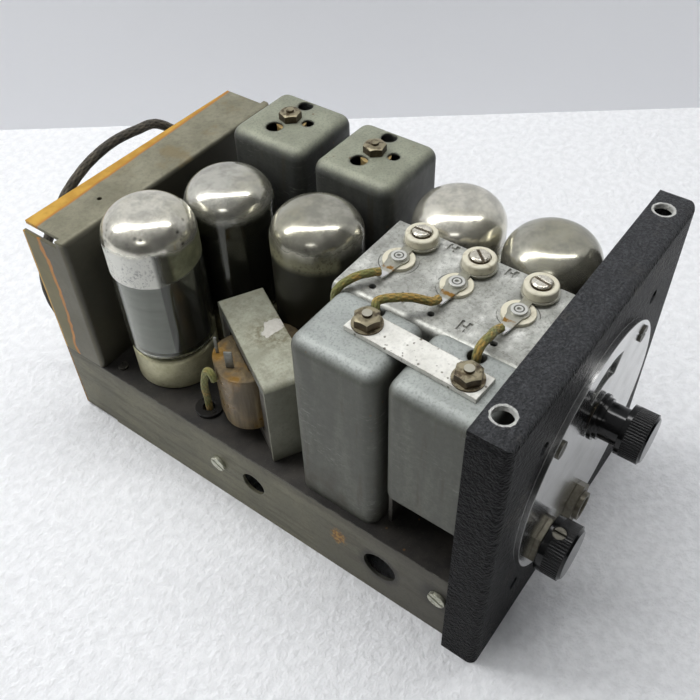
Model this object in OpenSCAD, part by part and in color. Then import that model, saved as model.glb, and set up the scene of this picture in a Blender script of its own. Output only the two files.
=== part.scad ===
// Small five-valve radio receiver on an open chassis, in millimetres.
// X runs to the right seen from the front, Y to the rear, Z up.

/* [Sheet metal] */
// Thickness of the front panel's sheet
panel_t = 1.6; // [1.2:0.1:2.4]
// Depth of the front panel's flanges
panel_flange = 10.8; // [8:0.1:12]
// Radius of the front panel's bends, outside
panel_bend = 2.4; // [2:0.1:3.5]
// Gap between a panel flange and the chassis side
panel_side_gap = 1.55; // [0.8:0.05:3]
// Room between the coil can tops and the panel's top edge
panel_top_gap = 8.7; // [6:0.1:14]
// Thickness of the chassis sheet
sheet_t = 1.2; // [0.9:0.1:1.6]
// Height of the deck above the bench
deck_h = 30.5; // [29.5:0.1:40]
// Depth of the rear pan
pan_depth = 18.8; // [12:0.1:26]
// Height of the rear pan above the deck
pan_h = 53.4; // [40:0.1:60]
// Radius of the rear pan's bends, outside
pan_bend = 1.8; // [1.4:0.1:3]
// Width of the open seam at the rear pan's top corners
pan_slit = 1.4; // [0.8:0.1:2.5]
// Length of the relief along the bottom of the skirts at the rear
relief_l = 16; // [8:0.5:24]
// Height of that relief
relief_h = 1; // [0.5:0.1:2]

/* [Valves] */
// Radius of the glass bulbs
valve_r = 14.2; // [13:0.1:15]
// Wall of the glass bulbs
glass_t = 0.9; // [0.6:0.1:1.2]
// Height of the metal base shells
base_h = 12.6; // [10:0.1:15]
// How much smaller the base shell is than the bulb, on the radius
base_step = 0.35; // [0.2:0.05:0.8]
// Height of a valve above the deck
valve_h = 62; // [60:0.1:68]
// How much each bulb stands above that height
valve_up = [1.9, -1.8, 0.3, -0.4, 0];
// Radius of the bulb's shoulder
dome_r = 9; // [7:0.1:11]
// Gap between a bulb's wall and the shield inside it
shield_gap = 0.9; // [0.5:0.1:1.5]
// Height of the shields inside the bulbs
shield_h = 31.5; // [26:0.5:33]
// Radius of the sockets below the deck
socket_r = 12; // [11:0.1:13]
// Depth of the sockets below the deck
socket_h = 6; // [5:0.1:8]

/* [Cans] */
// Width of the two square transformer cans
if_w = 29; // [27:0.1:31]
// Height of the square cans above the deck
if_h = 63.7; // [58:0.1:66]
// Width of the two coil cans
can_w = 24.2; // [22:0.1:26]
// Depth of the two coil cans
can_d = 27; // [23:0.1:28]
// Height of the coil can tops above the deck
can_h = 62.4; // [58:0.1:66]
// Wall of all cans
can_t = 0.8; // [0.5:0.1:1.2]
// Edge rounding of the square cans
if_fillet = 4; // [3:0.1:5]
// Edge rounding of the coil cans
can_fillet = 4; // [3.5:0.1:5.5]
// Width of the strap across the coil cans
strap_w = 8.1; // [7:0.1:10]
// Thickness of that strap
strap_t = 1.4; // [1:0.1:2]
// Size of the can nuts across flats
can_nut_af = 6.4; // [5.6:0.1:7.4]
// Height of the can nuts
can_nut_h = 2.6; // [2:0.1:3.4]
// Radius of the can studs
can_stud_r = 1.3; // [1:0.1:1.6]

/* [Tuning capacitor] */
// Width of the capacitor frame
gang_w = 32.8; // [31:0.1:36]
// Length of the capacitor frame
gang_l = 56.6; // [54:0.1:62]
// Height of the capacitor frame above the deck
gang_h = 58.2; // [56:0.1:62]
// Thickness of the frame's sheet
gang_t = 1.2; // [0.9:0.1:1.5]
// Height of the shaft above the deck
shaft_h = 34.1; // [32:0.1:35]
// Distance from the frame's left wall to the shaft
shaft_in = 19.4; // [18.5:0.1:20]
// Radius of the tuning shaft
shaft_r = 3.17; // [2.5:0.01:3.5]
// Radius of the rotor plates
rotor_r = 12.3; // [10:0.1:12.8]
// Radius of the stator's cut-out round the shaft
stator_in = 5; // [4.4:0.1:6]
// How far the stator plates reach beyond the rotor plates
stator_reach = 3; // [2:0.1:5]
// Thickness of the rotor and stator plates
plate_t = 0.8; // [0.6:0.05:0.9]
// Air gap between neighbouring plates
plate_gap = 0.5; // [0.4:0.05:0.6]
// Rotor plates in each section
rotor_n = 5; // [3:1:5]
// Radius of the trimmer discs
trim_r = 4.7; // [4:0.1:5.2]
// Height of the trimmer discs
trim_h = 2.6; // [2.2:0.1:3.4]
// Radius of the trimmer screw heads
trim_screw_r = 2.75; // [2.2:0.05:3.2]

/* [Output transformer] */
// Length of the bracket over the core
tr_l = 41.6; // [38:0.1:44]
// Width of the bracket
tr_w = 14.6; // [12:0.1:17]
// Height of the bracket above the deck
tr_h = 32.7; // [30:0.1:36]
// Thickness of the bracket's strip
tr_t = 1.4; // [1:0.1:2]
// Turn of the bracket, seen from above
tr_turn = 29.3; // [20:0.1:35]
// Width of the coil across the bracket
coil_w = 28; // [25:0.1:29]
// Length of the coil along the bracket
coil_l = 21; // [18:0.1:22]
// Height of the coil
coil_h = 21.4; // [18:0.1:22]
// Corner radius of the coil
coil_r = 8.6; // [6:0.1:8.9]

/* [Front controls] */
// Radius of the front plate
esc_r = 37.8; // [36:0.1:39]
// Thickness of the front plate
esc_t = 1.6; // [1:0.1:2]
// Inner radius of the dial window
win_r1 = 12.2; // [11.5:0.1:13]
// Outer radius of the dial window
win_r2 = 18.8; // [17:0.1:19.5]
// Half angle of the dial window
win_half = 33; // [25:1:38]
// Diameter of the mounting hole circle in the panel
panel_pcd = 88.9; // [86:0.1:92]
// Radius of the mounting holes in the panel
panel_hole_r = 2.2; // [1.6:0.1:2.6]
// Distance between the holes in the top flange
top_hole_gap = 85.8; // [80:0.1:88]
// Radius of the holes in the top flange
top_hole_r = 2.6; // [2:0.1:2.8]
// Radius of the tuning knob's head
knob_r = 7.1; // [6.5:0.1:8.5]
// Length of the tuning knob's head
knob_h = 7; // [6:0.1:10]
// Radius of the tuning knob's hub
hub_r = 5.35; // [5:0.05:6]
// Length of the tuning knob's hub
hub_h = 5.4; // [4:0.1:7]
// Radius of the tuning knob's collar
collar_r = 6.7; // [6.1:0.1:7]
// Length of the tuning knob's collar
collar_h = 2.4; // [2:0.1:3.2]
// Radius of the volume knob
vol_knob_r = 8.4; // [7.5:0.1:9]
// Length of the volume knob
vol_knob_h = 7.7; // [7:0.1:11]
// Depth of a knob flute
flute_d = 0.3; // [0.2:0.05:0.4]
// Flutes on a knob
flute_n = 58; // [44:2:64]
// Distance of the volume shaft to the left of the tuning shaft
vol_in = 21.4; // [20.5:0.1:22.5]
// Height of the volume shaft above the deck
vol_up = 1.5; // [0.5:0.1:3]
// Radius of the volume control's case
pot_r = 12; // [10:0.1:12.5]
// Depth of the volume control's case
pot_d = 11; // [9:0.1:13]
// Radius of the phone jack's bore
jack_r = 3.2; // [3:0.05:3.3]
// Radius of the phone jack's threaded bush
jack_bush_r = 4.5; // [4.3:0.1:4.7]
// Reach of the phone jack's bush in front of the panel
jack_reach = 5.5; // [4.5:0.1:7]
// Distance of the jack's axis below the deck's underside
jack_down = 5.0; // [5:0.1:7]

/* [Layout] */
// Gap between the coil cans and the chassis edge
can_edge_gap = 3.55; // [2.5:0.05:6]
// How far the rear coil can stands out past the front one
can_a_out = 1.2; // [0:0.05:2]
// Gap between a coil can and the tuning capacitor
can_gang_gap = 0.5; // [0.5:0.05:2]
// Gap between the tuning capacitor and the right-hand valves
gang_valve_gap = 0.5; // [0.5:0.05:3]
// Gap between the right-hand valves and the chassis edge
valve_edge_gap = 5.35; // [4:0.05:8]
// Gap between the rear left valve and the chassis edge
left_valve_gap = 4.25; // [3:0.05:6]
// Gap between the two rear valves
rear_valve_gap = 0.3; // [0.2:0.05:2]
// How far the rear middle valve stands to the left of the front one
mid_skew = 0.6; // [0:0.05:0.8]
// Gap between the square cans and the chassis edge
if_edge_gap = 2.4; // [0.8:0.05:3]
// Gap between the middle valves and the square cans
mid_if_gap = 2.45; // [2:0.05:6]
// Gap between the transformer bracket and the chassis edge
tr_edge_gap = 3.75; // [3:0.05:6]
// Gap between the transformer coil and the middle valve
tr_valve_gap = 0.3; // [0.3:0.05:2]
// Gap between the panel's back and the front coil can
can_front_gap = 8.2; // [6:0.1:12]
// Gap between the two coil cans
can_gap = 1.8; // [1.2:0.1:5]
// Gap between the rear coil can and the transformer
can_tr_gap = 4.1; // [3:0.1:7]
// Gap between the transformer and the rear left valve
tr_valve_back = 3.4; // [3:0.1:7]
// Gap between the volume control and the tuning capacitor
pot_gang_gap = 1.4; // [1:0.1:3]
// Gap between the volume control and the front coil can
pot_can_gap = 4.3; // [3.5:0.1:7]
// Gap between the tuning capacitor and the middle valve
gang_mid_gap = 5.8; // [4:0.1:9]
// Gap between the two middle valves
mid_gap = 6.1; // [3:0.1:8]
// Gap between the panel's back and the front right valve
valve_front_gap = 13; // [11:0.1:15]
// Gap between the two right-hand valves
right_valve_gap = 2; // [1.5:0.1:5]
// Gap between a right-hand valve and a square can
valve_if_gap = 3.5; // [2.5:0.1:6]
// Gap between the two square cans
if_gap = 4.3; // [3:0.1:7]
// Gap between the rearmost valve and the rear pan
pan_gap = 3.9; // [2:0.1:6]

/* [Wiring] */
// Diameter of the fabric-covered leads
lead_d = 2.4; // [2:0.1:2.6]
// Diameter of the rear cord
cord_d = 3.6; // [3:0.1:4]
// Length of the resistors' bodies
res_l = 10; // [8:0.1:12]
// Radius of the resistors' bodies
res_r = 1.8; // [1.4:0.1:2.2]
// Length of the paper capacitors
cap_l = 20; // [16:0.1:24]
// Radius of the paper capacitors
cap_r = 3.6; // [3:0.1:4.2]

/* [Fits] */
// Running clearance of a shaft in its bush, on the radius
run_fit = 0.05; // [0.02:0.01:0.08]
// Clearance of a fixed piece in its hole, on the radius
hole_fit = 0.15; // [0.1:0.05:0.3]
// Gap between a turning piece and the fixed piece beside it
turn_gap = 0.4; // [0.3:0.05:0.8]

/* [Hidden] */
$fn = 48;
// Overlap that keeps a cut from ending on a face
eps = 0.5;
// Row widths across the chassis, and the width that holds them
coil_off = -1.5;
tr_ext_x = tr_l / 2 * sin(tr_turn) + tr_w / 2 * cos(tr_turn);
tr_ext_y = tr_l / 2 * cos(tr_turn) + tr_w / 2 * sin(tr_turn);
front_row = can_edge_gap + can_w + can_gang_gap + gang_w + gang_valve_gap + 2 * valve_r + valve_edge_gap;
mid_in = valve_r + max(left_valve_gap + 2 * valve_r + rear_valve_gap,
    tr_edge_gap + tr_ext_x + coil_w / 2 + coil_off + tr_valve_gap);
mid_row = mid_in + valve_r + mid_if_gap + if_w + if_edge_gap;
chassis_w = max(front_row, mid_row);
xl = -chassis_w / 2;
// Places across the chassis
can_x = xl + can_edge_gap + can_w / 2;
can_a_x = can_x - can_a_out;
gang_x = xl + can_edge_gap + can_w + can_gang_gap;
shaft_x = gang_x + shaft_in;
right_x = gang_x + gang_w + gang_valve_gap + valve_r;
left_x = xl + left_valve_gap + valve_r;
mid_x = xl + mid_in;
if_x = -xl - if_edge_gap - if_w / 2;
tr_x = xl + tr_edge_gap + tr_ext_x;
// Places along the chassis, from the panel's front face
can_b_y = panel_t + can_front_gap + can_d / 2;
can_a_y = can_b_y + can_d + can_gap;
tr_y = can_a_y + can_d / 2 + can_tr_gap + tr_ext_y;
v1_y = tr_y + tr_ext_y + tr_valve_back + valve_r;
gang_y = panel_t + pot_d + pot_gang_gap;
v3_y = gang_y + gang_l + gang_mid_gap + valve_r;
v2_y = v3_y + 2 * valve_r + mid_gap;
v5_y = panel_t + valve_front_gap + valve_r;
v4_y = v5_y + 2 * valve_r + right_valve_gap;
if2_y = v4_y + valve_r + valve_if_gap + if_w / 2;
if1_y = if2_y + if_w + if_gap;
pan_y = max(v1_y + valve_r, v2_y + valve_r, if1_y + if_w / 2) + pan_gap;
rear_y = pan_y + pan_depth;
valves = [[left_x, v1_y], [mid_x - mid_skew, v2_y], [mid_x, v3_y], [right_x, v4_y], [right_x, v5_y]];
// Heights
under_z = deck_h - sheet_t;
shaft_z = deck_h + shaft_h;
gang_top = deck_h + gang_h;
can_top = deck_h + can_h;
vol_x = shaft_x - vol_in;
vol_z = deck_h + vol_up;
can_b_z = vol_z + pot_r + pot_can_gap;
jack_z = under_z - jack_down;
panel_h = can_top + panel_top_gap;
panel_w = chassis_w + 2 * (panel_side_gap + panel_t);
esc_z = panel_h / 2 + 0.6;
// Front ends, and the middle of the body's depth
knob_back = -esc_t - turn_gap;
knob_end = knob_back - collar_h - hub_h - knob_h;
mid_y = (rear_y + knob_end) / 2;
// Sockets and pins
boss_r = socket_r - 2;
pin_r = 3.3;
base_r = valve_r - base_step;
foot_r = 3;
base_round = 0.9;
shield_r = valve_r - glass_t - shield_gap;
shield_t = 0.6;
shield_low = 2.2;
stem_foot_r = 5;
// Tuning capacitor sections
gang_step = (gang_l - gang_t) / 3;
section_y = [for (i = [0:2]) gang_y + gang_t + gang_step * i + (gang_step - gang_t) / 2];
plate_step = 2 * (plate_t + plate_gap);
rotor_span = (rotor_n - 1) * plate_step + plate_t;
hub_sleeve_r = stator_in - 0.8;
stator_r = rotor_r + stator_reach;
bar_z = shaft_z + rotor_r + 0.8;
bar_h = stator_reach;
stem_r = 1.3;
stem_in = -1.7;
washer_r = 4.6;
washer_h = 1;
lug_t = 0.5;
trim_in = 8.1;
trim_back = 1;
wire_hole_r = 1;
trim_shank_r = 1.25;
trim_turns = [80, 49, 95];
trim_base_r = trim_r - 0.5;
trim_neck_r = trim_shank_r + 0.9;
arm_r = trim_r + 0.5;
trim_z = gang_top + washer_h + lug_t + trim_h;
trim_sink = 0.8;
trim_edge = 0.6;
trim_head_h = 1.3;
shank_end = gang_top - gang_t - 3;
gang_bend = 2;
fold_h = 9;
tab_depth = 0.7;
tab_slots = [[gang_x + 4.2, gang_x + 8.2], [gang_x + gang_w - 3.5, gang_x + gang_w - 0.4]];
// Transformer core
core_fit = 0.3;
yoke_h = (tr_h - tr_t - coil_h - core_fit) / 2;
core_w = tr_w - 1;
leg_w = coil_l - 9;
core_side = 6;
tr_bend = 2;
tag_up = 6.5;
tags = [[-11.6, -2.1, 2.4], [-13.1, 5.3, 0.9]];
// Volume control and jack
bush_r = shaft_r + 1.6;
nut_h = 1.6;
vol_back = -esc_t - nut_h - turn_gap;
vol_end = vol_back - vol_knob_h;
pot_clear = 1;
jack_nut_h = 2.4;
leaf_l = 26;
leaf_w = 5.6;
leaf_t = 1.4;
// Wiring below the deck
res_lead = 3;
strip_t = 1.5;
strip_h = 10;
strip_l = 32;
strip_y = can_a_y - 12;
strip_x = [can_x - 6, can_x - 6 + res_l + 2 * res_lead + strip_t,
    can_x - 6 + res_l + cap_l + 4 * res_lead + 2 * strip_t];

// Rear cord from the upper grommet to the lower one, and its grommets' places
cord_hole_a = [38, 56];
cord_hole_b = [-31, 14];
cord_off = 0.2;
pan_back = pan_y + sheet_t - rear_y + cord_off;
cord_path = [[38, pan_back, 56], [38, pan_back + 7, 56], [38, -2, 56.3], [37.7, 7, 58.6], [35.6, 16, 64.6],
    [28, 21, 72], [18, 21, 74.5], [8, 21, 75.5],
    [-1, 21, 74.5], [-9, 21, 72], [-18, 21, 67], [-27, 21, 58.5], [-33.5, 21, 49], [-36, 21, 39.5],
    [-36, 20, 29], [-34.2, 16, 20], [-31.6, 10, 15], [-31, 4.5, 14], [-31, cord_off, 14]];
// Fabric lead of each section, from its lug to where it goes down
lug_z = gang_top + washer_h + lug_t;
lug_tip = -11.3;
// Small holes and fixings, each tied to its neighbours
screw_r = 1.9;
skirt_screws = [[can_b_y - 8.3, under_z - 10.3], [tr_y + 6.9, under_z - 12]];
skirt_holes = [[can_b_y + 11.8, under_z - 14, 5.6], [tr_y - 7.6, under_z - 12.3, 4.4]];
grommet_r = 3.4;
grommet_x = xl + 8;
grommet_y = tr_y + 16;
rivet_r = 1.2;
rivet_x = xl + 4.6;
rivet_y = pan_y - 5;
cord_gr_r = cord_d / 2 + 1.6;
pan_hole_r = 0.8;
bush_out = shaft_r + 1.9;
esc_screw_r = 1.5;
esc_head_h = 0.6;
esc_screw_in = (esc_r - 3.8) * sqrt(1 / 2);
top_hole_y = panel_flange - 4.3;
seam = 0.9;
if_holes = [[9.2, 1.4, 2.6], [-6, 2, 2.8], [1.4, -5.7, 2]];
if_stud = [0.6, 0.8];
can_studs = [[can_x - 0.5, can_b_y - 2.6], [can_a_x + 2.1, can_a_y - 1.8]];
stud_up = 0.8;
strap_ends = [4.9, 4.3];
bracket_in = 3.5;
former_r = can_w * 0.2;
pie_r = can_w * 0.35;
pie_h = 6;
foot_h = 1.5;
lead_hole_r = 2.5;
lead_hole_x = can_w / 2 - can_fillet;
dial_r = 20;
dial_y = panel_t + 2.2;
dial_t = 1;
set_r = 1.6;
vol_set_r = 2;
set_turn = -80;
vol_set_turn = 97;
vol_skirt = 2;
vol_set_in = 2.9;

// Shared shapes
module in_frame() {
    translate([0, -mid_y, 0]) children();
}

// Cylinder along Y
module ycyl(r, y0, y1, x, z) {
    translate([x, y0, z]) rotate([-90, 0, 0]) cylinder(r = r, h = y1 - y0);
}

// Cylinder along X
module xcyl(r, x0, x1, y, z) {
    translate([x0, y, z]) rotate([0, 90, 0]) cylinder(r = r, h = x1 - x0);
}

// Upright cylinder
module zcyl(r, z0, z1, x, y) {
    translate([x, y, z0]) cylinder(r = r, h = z1 - z0);
}

// Box between two corners
module block(a, b) {
    translate(a) cube(b - a);
}

// Rectangle with round corners, on its middle
module round_rect(w, d, r) {
    square([w - 2 * r, d], center = true);
    square([w, d - 2 * r], center = true);
    for (sx = [-1, 1], sy = [-1, 1]) translate([sx * (w / 2 - r), sy * (d / 2 - r)]) circle(r);
}

// Hexagon prism across flats
module hex(af, h) {
    cylinder(r = af / sqrt(3), h = h, $fn = 6);
}

// Drawn can with a rounded top, standing at z = 0
module can_body(w, d, h, f) {
    hull() {
        for (sx = [-1, 1], sy = [-1, 1]) translate([sx * (w / 2 - f), sy * (d / 2 - f), 0]) {
            cylinder(r = f, h = 1, $fn = 32);
            translate([0, 0, h - f]) sphere(r = f, $fn = 32);
        }
    }
}

// The can hollowed from below
module can_shell(w, d, h, f) {
    difference() {
        can_body(w, d, h, f);
        translate([0, 0, -eps]) linear_extrude(h - f + eps)
            round_rect(w - 2 * can_t, d - 2 * can_t, f - can_t);
        translate([0, 0, h - f - eps]) linear_extrude(f - can_t + eps)
            square([w - 2 * f, d - 2 * f], center = true);
    }
}

// Smooth point on a route, and the route with extra points
function mixed(p, i, t) =
    let (a = p[max(i - 1, 0)], b = p[i], c = p[i + 1], d = p[min(i + 2, len(p) - 1)])
    0.5 * (2 * b + (c - a) * t + (2 * a - 5 * b + 4 * c - d) * t * t + (3 * b - a - 3 * c + d) * t * t * t);
function smooth(p, n) = concat([for (i = [0:len(p) - 2], k = [0:n - 1]) mixed(p, i, k / n)], [p[len(p) - 1]]);
function unit(v) = v / norm(v);
function way(p, i) = unit(p[min(i + 1, len(p) - 1)] - p[max(i - 1, 0)]);
function side(w, u) = unit(u - w * (u * w));
function sides(p, i, u) = i == 0 ? [side(way(p, 0), u)] :
    let (s = sides(p, i - 1, u)) concat(s, [side(way(p, i), s[i - 1])]);

// Tube along a route: one closed skin
module tube(route, d, n = 8, up = [0.1, 0.2, 1]) {
    m = len(route);
    us = sides(route, m - 1, up);
    pts = [for (i = [0:m - 1]) let (w = way(route, i), u = us[i], v = cross(w, u))
        for (k = [0:n - 1]) route[i] + d / 2 * (u * cos(360 * k / n) + v * sin(360 * k / n))];
    skin = [for (i = [0:m - 2], k = [0:n - 1]) let (a = i * n + k, b = i * n + (k + 1) % n)
        each [[a, b + n, b], [a, a + n, b + n]]];
    caps = [for (k = [1:n - 2]) each [[0, k, k + 1], [(m - 1) * n, (m - 1) * n + k + 1, (m - 1) * n + k]]];
    polyhedron(points = pts, faces = concat(skin, caps), convexity = 6);
}

// Chassis: deck with skirts, open below
module chassis() color("#6b6a5c") in_frame() {
    difference() {
        block([xl, panel_t, 0], [-xl, rear_y, deck_h]);
        block([xl + sheet_t, panel_t + sheet_t, -eps], [-xl - sheet_t, rear_y - sheet_t, under_z]);
        block([xl - eps, rear_y - relief_l, -eps], [-xl + eps, rear_y + eps, relief_h]);
        block([vol_x - pot_r - pot_clear, panel_t - eps, vol_z - pot_r - pot_clear],
            [vol_x + pot_r + pot_clear, panel_t + pot_d + pot_clear, deck_h + eps]);
        for (v = valves) zcyl(boss_r + hole_fit, under_z - eps, deck_h + eps, v[0], v[1]);
        ycyl(jack_bush_r + hole_fit, panel_t - eps, panel_t + sheet_t + eps, shaft_x, jack_z);
        for (s = skirt_holes) xcyl(s[2], xl - eps, xl + sheet_t + eps, s[0], s[1]);
        for (s = skirt_screws) xcyl(screw_r + hole_fit, xl - eps, xl + sheet_t + eps, s[0], s[1]);
        zcyl(grommet_r + hole_fit, under_z - eps, deck_h + eps, grommet_x, grommet_y);
        zcyl(rivet_r, under_z - eps, deck_h + eps, rivet_x, rivet_y);
        ycyl(cord_gr_r, rear_y - sheet_t - eps, rear_y + eps, cord_hole_b[0], cord_hole_b[1]);
    }
}

// Rear pan: tray with its wall to the front, standing on the deck
module rear_pan() color("#6f6a58") in_frame() {
    top = deck_h + pan_h;
    difference() {
        intersection() {
            translate([0, pan_y, deck_h]) linear_extrude(pan_h) tray_plan(chassis_w, pan_depth, pan_bend);
            translate([xl, pan_y, 0]) rotate([90, 0, 90]) linear_extrude(chassis_w)
                tray_side(top, pan_depth, pan_bend);
        }
        block([xl + sheet_t, pan_y + sheet_t, deck_h - eps], [-xl - sheet_t, rear_y + eps, top - sheet_t]);
        for (sx = [-1, 1]) pan_seam(sx, top);
        ycyl(cord_gr_r, pan_y - eps, pan_y + sheet_t + eps, cord_hole_a[0], cord_hole_a[1]);
        zcyl(pan_hole_r, top - sheet_t - eps, top + eps, can_x + 6.6, pan_y + 8.1);
    }
}

// Open seam at a top corner of the rear pan, from behind the bend to the rear edge
module pan_seam(sx, top) {
    w = sheet_t + pan_slit / 2;
    block([sx > 0 ? -xl - w : xl - eps, pan_y + pan_bend + pan_slit, top - sheet_t - pan_slit],
        [sx > 0 ? -xl + eps : xl + w, rear_y + eps, top + eps]);
}

// Window shape about the tuning shaft, grown by g
module window_shape(g) {
    intersection() {
        difference() {
            circle(win_r2 + g);
            circle(win_r1 - g);
        }
        polygon([[0, 0], 2 * win_r2 * [-sin(win_half + 3 * g), cos(win_half + 3 * g)], [0, 2.4 * win_r2],
            2 * win_r2 * [sin(win_half + 3 * g), cos(win_half + 3 * g)]]);
    }
}

// Window prism between two depths
module window_cut(g, y0, y1) {
    translate([shaft_x, y1, shaft_z]) rotate([90, 0, 0]) linear_extrude(y1 - y0) window_shape(g);
}

// Bores that the plate and the panel share
module front_bores(y0, y1) {
    ycyl(bush_out + hole_fit, y0, y1, shaft_x, shaft_z);
    ycyl(bush_r + hole_fit, y0, y1, vol_x, vol_z);
    ycyl(jack_bush_r + hole_fit, y0, y1, shaft_x, jack_z);
    for (s = [-1, 1]) ycyl(esc_screw_r + hole_fit, y0, y1, s * esc_screw_in, esc_z + esc_screw_in);
}

// Front panel: shallow tray with side and top flanges
module front_panel() color("#1b1c1d") in_frame() {
    hw = panel_w / 2;
    difference() {
        intersection() {
            linear_extrude(panel_h) tray_plan(panel_w, panel_flange, panel_bend);
            translate([-hw, 0, 0]) rotate([90, 0, 90]) linear_extrude(panel_w)
                tray_side(panel_h, panel_flange, panel_bend);
        }
        block([-hw + panel_t, panel_t, -eps], [hw - panel_t, panel_flange + eps, panel_h - panel_t]);
        for (sx = [-1, 1]) {
            panel_slit(sx, hw);
            zcyl(top_hole_r, panel_h - panel_t - eps, panel_h + eps, sx * top_hole_gap / 2, top_hole_y);
            for (sz = [-1, 1]) ycyl(panel_hole_r, -eps, panel_t + eps, sx * panel_pcd * sqrt(1 / 8),
                panel_h / 2 + sz * panel_pcd * sqrt(1 / 8));
        }
        front_bores(-eps, panel_t + eps);
        window_cut(0.6, -eps, panel_t + eps);
    }
}

// Tray seen from above, with its two front bends
module tray_plan(w, d, r) {
    translate([-w / 2, r]) square([w, d - r]);
    translate([-w / 2 + r, 0]) square([w - 2 * r, d]);
    for (sx = [-1, 1]) translate([sx * (w / 2 - r), r]) circle(r);
}

// Tray seen from the side, with its top bend
module tray_side(h, d, r) {
    translate([r, 0]) square([d - r, h]);
    square([d, h - r]);
    translate([r, h - r]) circle(r);
}

// Open seam at a top corner of the panel
module panel_slit(sx, hw) {
    block([sx > 0 ? hw - panel_t - seam : -hw - eps, panel_bend, panel_h - panel_t - seam],
        [sx > 0 ? hw + eps : -hw + panel_t + seam, panel_flange + eps, panel_h - panel_t]);
}

// Round front plate
module escutcheon() color("#b9bbbb") in_frame() difference() {
    ycyl(esc_r, -esc_t, 0, 0, esc_z);
    front_bores(-esc_t - eps, eps);
    window_cut(0, -esc_t - eps, eps);
}

// Two screws of the front plate
module escutcheon_screws() color("#8d8a80") in_frame() for (s = [-1, 1]) {
    x = s * esc_screw_in;
    z = esc_z + esc_screw_in;
    difference() {
        union() {
            ycyl(esc_screw_r, -esc_t, panel_t + 2, x, z);
            ycyl(esc_screw_r + 1, -esc_t - esc_head_h, -esc_t, x, z);
        }
        translate([x, -esc_t - esc_head_h, z]) rotate([0, 30 * s, 0])
            cube([6, esc_head_h, 0.6], center = true);
    }
}

// Pane behind the window
module dial_window() color("#c8d0cc") in_frame() window_cut(0.45, 0, panel_t - 0.4);

// Bush that carries the tuning shaft in the panel
module tuning_bushing() color("#a88b4a") in_frame() difference() {
    union() {
        ycyl(bush_out, -esc_t, panel_t, shaft_x, shaft_z);
        ycyl(bush_out + 1.2, panel_t, panel_t + 1.2, shaft_x, shaft_z);
    }
    ycyl(shaft_r + run_fit, -esc_t - eps, panel_t + 2, shaft_x, shaft_z);
}

// Half section of a bulb: straight wall with a rounded top and bottom
module bulb_half(r, z0, z1, f, g) {
    intersection() {
        translate([0, z0]) square([r, z1 - z0]);
        union() {
            translate([0, z0]) square([r - g, z1 - z0 - f]);
            translate([0, z0 + g]) square([r, z1 - z0 - f - g]);
            translate([r - g, z0 + g]) circle(g);
            translate([0, z0 + g]) square([r - f, z1 - z0 - g]);
            translate([r - f, z1 - f]) circle(f);
        }
    }
}

// Glass bulb of valve i
module valve_glass(i) color("#c9cbbf", 0.5) in_frame()
    translate([valves[i][0], valves[i][1], 0]) {
    low = deck_h + base_h;
    top = deck_h + valve_h + valve_up[i];
    rotate_extrude() difference() {
        bulb_half(valve_r, low, top, dome_r, foot_r);
        bulb_half(valve_r - glass_t, low + glass_t, top - glass_t, dome_r - glass_t, foot_r - glass_t);
    }
}

// Metal base of valve i with its locating pin
module valve_base(i) color("#a9a58f") in_frame() translate([valves[i][0], valves[i][1], 0]) {
    rotate_extrude() bulb_half(base_r, deck_h, deck_h + base_h, base_round, base_round);
    zcyl(pin_r, under_z - socket_h, deck_h + eps, 0, 0);
}

// Stem and cup-shaped shield inside the bulbs
module valve_electrodes() color("#77786f") in_frame() for (v = valves)
    translate([v[0], v[1], deck_h + base_h + glass_t]) rotate_extrude() {
        square([stem_foot_r, shield_h - shield_t]);
        translate([0, shield_h - shield_t]) square([shield_r, shield_t]);
        translate([shield_r - shield_t, shield_low]) square([shield_t, shield_h - shield_low]);
    }

// Sockets under the deck
module valve_sockets() color("#3d3226") in_frame() for (v = valves) translate([v[0], v[1], 0]) difference() {
    union() {
        zcyl(socket_r, under_z - socket_h, under_z, 0, 0);
        zcyl(boss_r, under_z - eps, deck_h, 0, 0);
    }
    zcyl(pin_r + hole_fit, under_z - socket_h - eps, deck_h + eps, 0, 0);
}

// Solder tags below the sockets
module socket_contacts() color("#b5a56a") in_frame() for (v = valves, k = [0:7])
    translate([v[0], v[1], under_z - socket_h]) rotate(45 * k + 22.5)
        translate([boss_r - 3, -0.9, -5]) cube([0.5, 1.8, 5]);

// Square can at a place, with its top holes
module if_can(y) color("#8f979b") in_frame() translate([if_x, y, 0]) difference() {
    translate([0, 0, deck_h]) can_shell(if_w, if_w, if_h, if_fillet);
    for (h = if_holes) zcyl(h[2], deck_h + if_h - 2 * if_fillet, deck_h + if_h + eps, h[0], h[1]);
    zcyl(can_stud_r + hole_fit, deck_h + if_h - 2 * if_fillet, deck_h + if_h + eps, if_stud[0], if_stud[1]);
}

// Former from z0 to a can's top, with pies at the heights given
module former(z0, top, pies) {
    rotate_extrude() union() {
        translate([0, z0]) square([former_r, top - can_t - z0]);
        translate([0, z0]) square([pie_r, foot_h]);
        for (z = pies) translate([0, z0 + z * (top - z0)]) square([pie_r, pie_h]);
    }
}

// Hex nut with the end of its stud, standing at z; the stud starts at z0
module stud_nut(z, z0, turn) {
    translate([0, 0, z]) intersection() {
        rotate(turn) hex(can_nut_af, can_nut_h);
        rotate_extrude() polygon([[0, 0], [can_nut_af, 0], [can_nut_af, can_nut_h / 4],
            [can_nut_af / 2 - can_nut_h / 8, can_nut_h], [0, can_nut_h]]);
    }
    zcyl(can_stud_r, z0, z + can_nut_h + stud_up, 0, 0);
}

// Windings of the square cans
module if_coils() color("#b59a6a") in_frame() for (y = [if1_y, if2_y]) translate([if_x, y, 0])
    former(deck_h, deck_h + if_h, [0.22, 0.45]);

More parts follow.
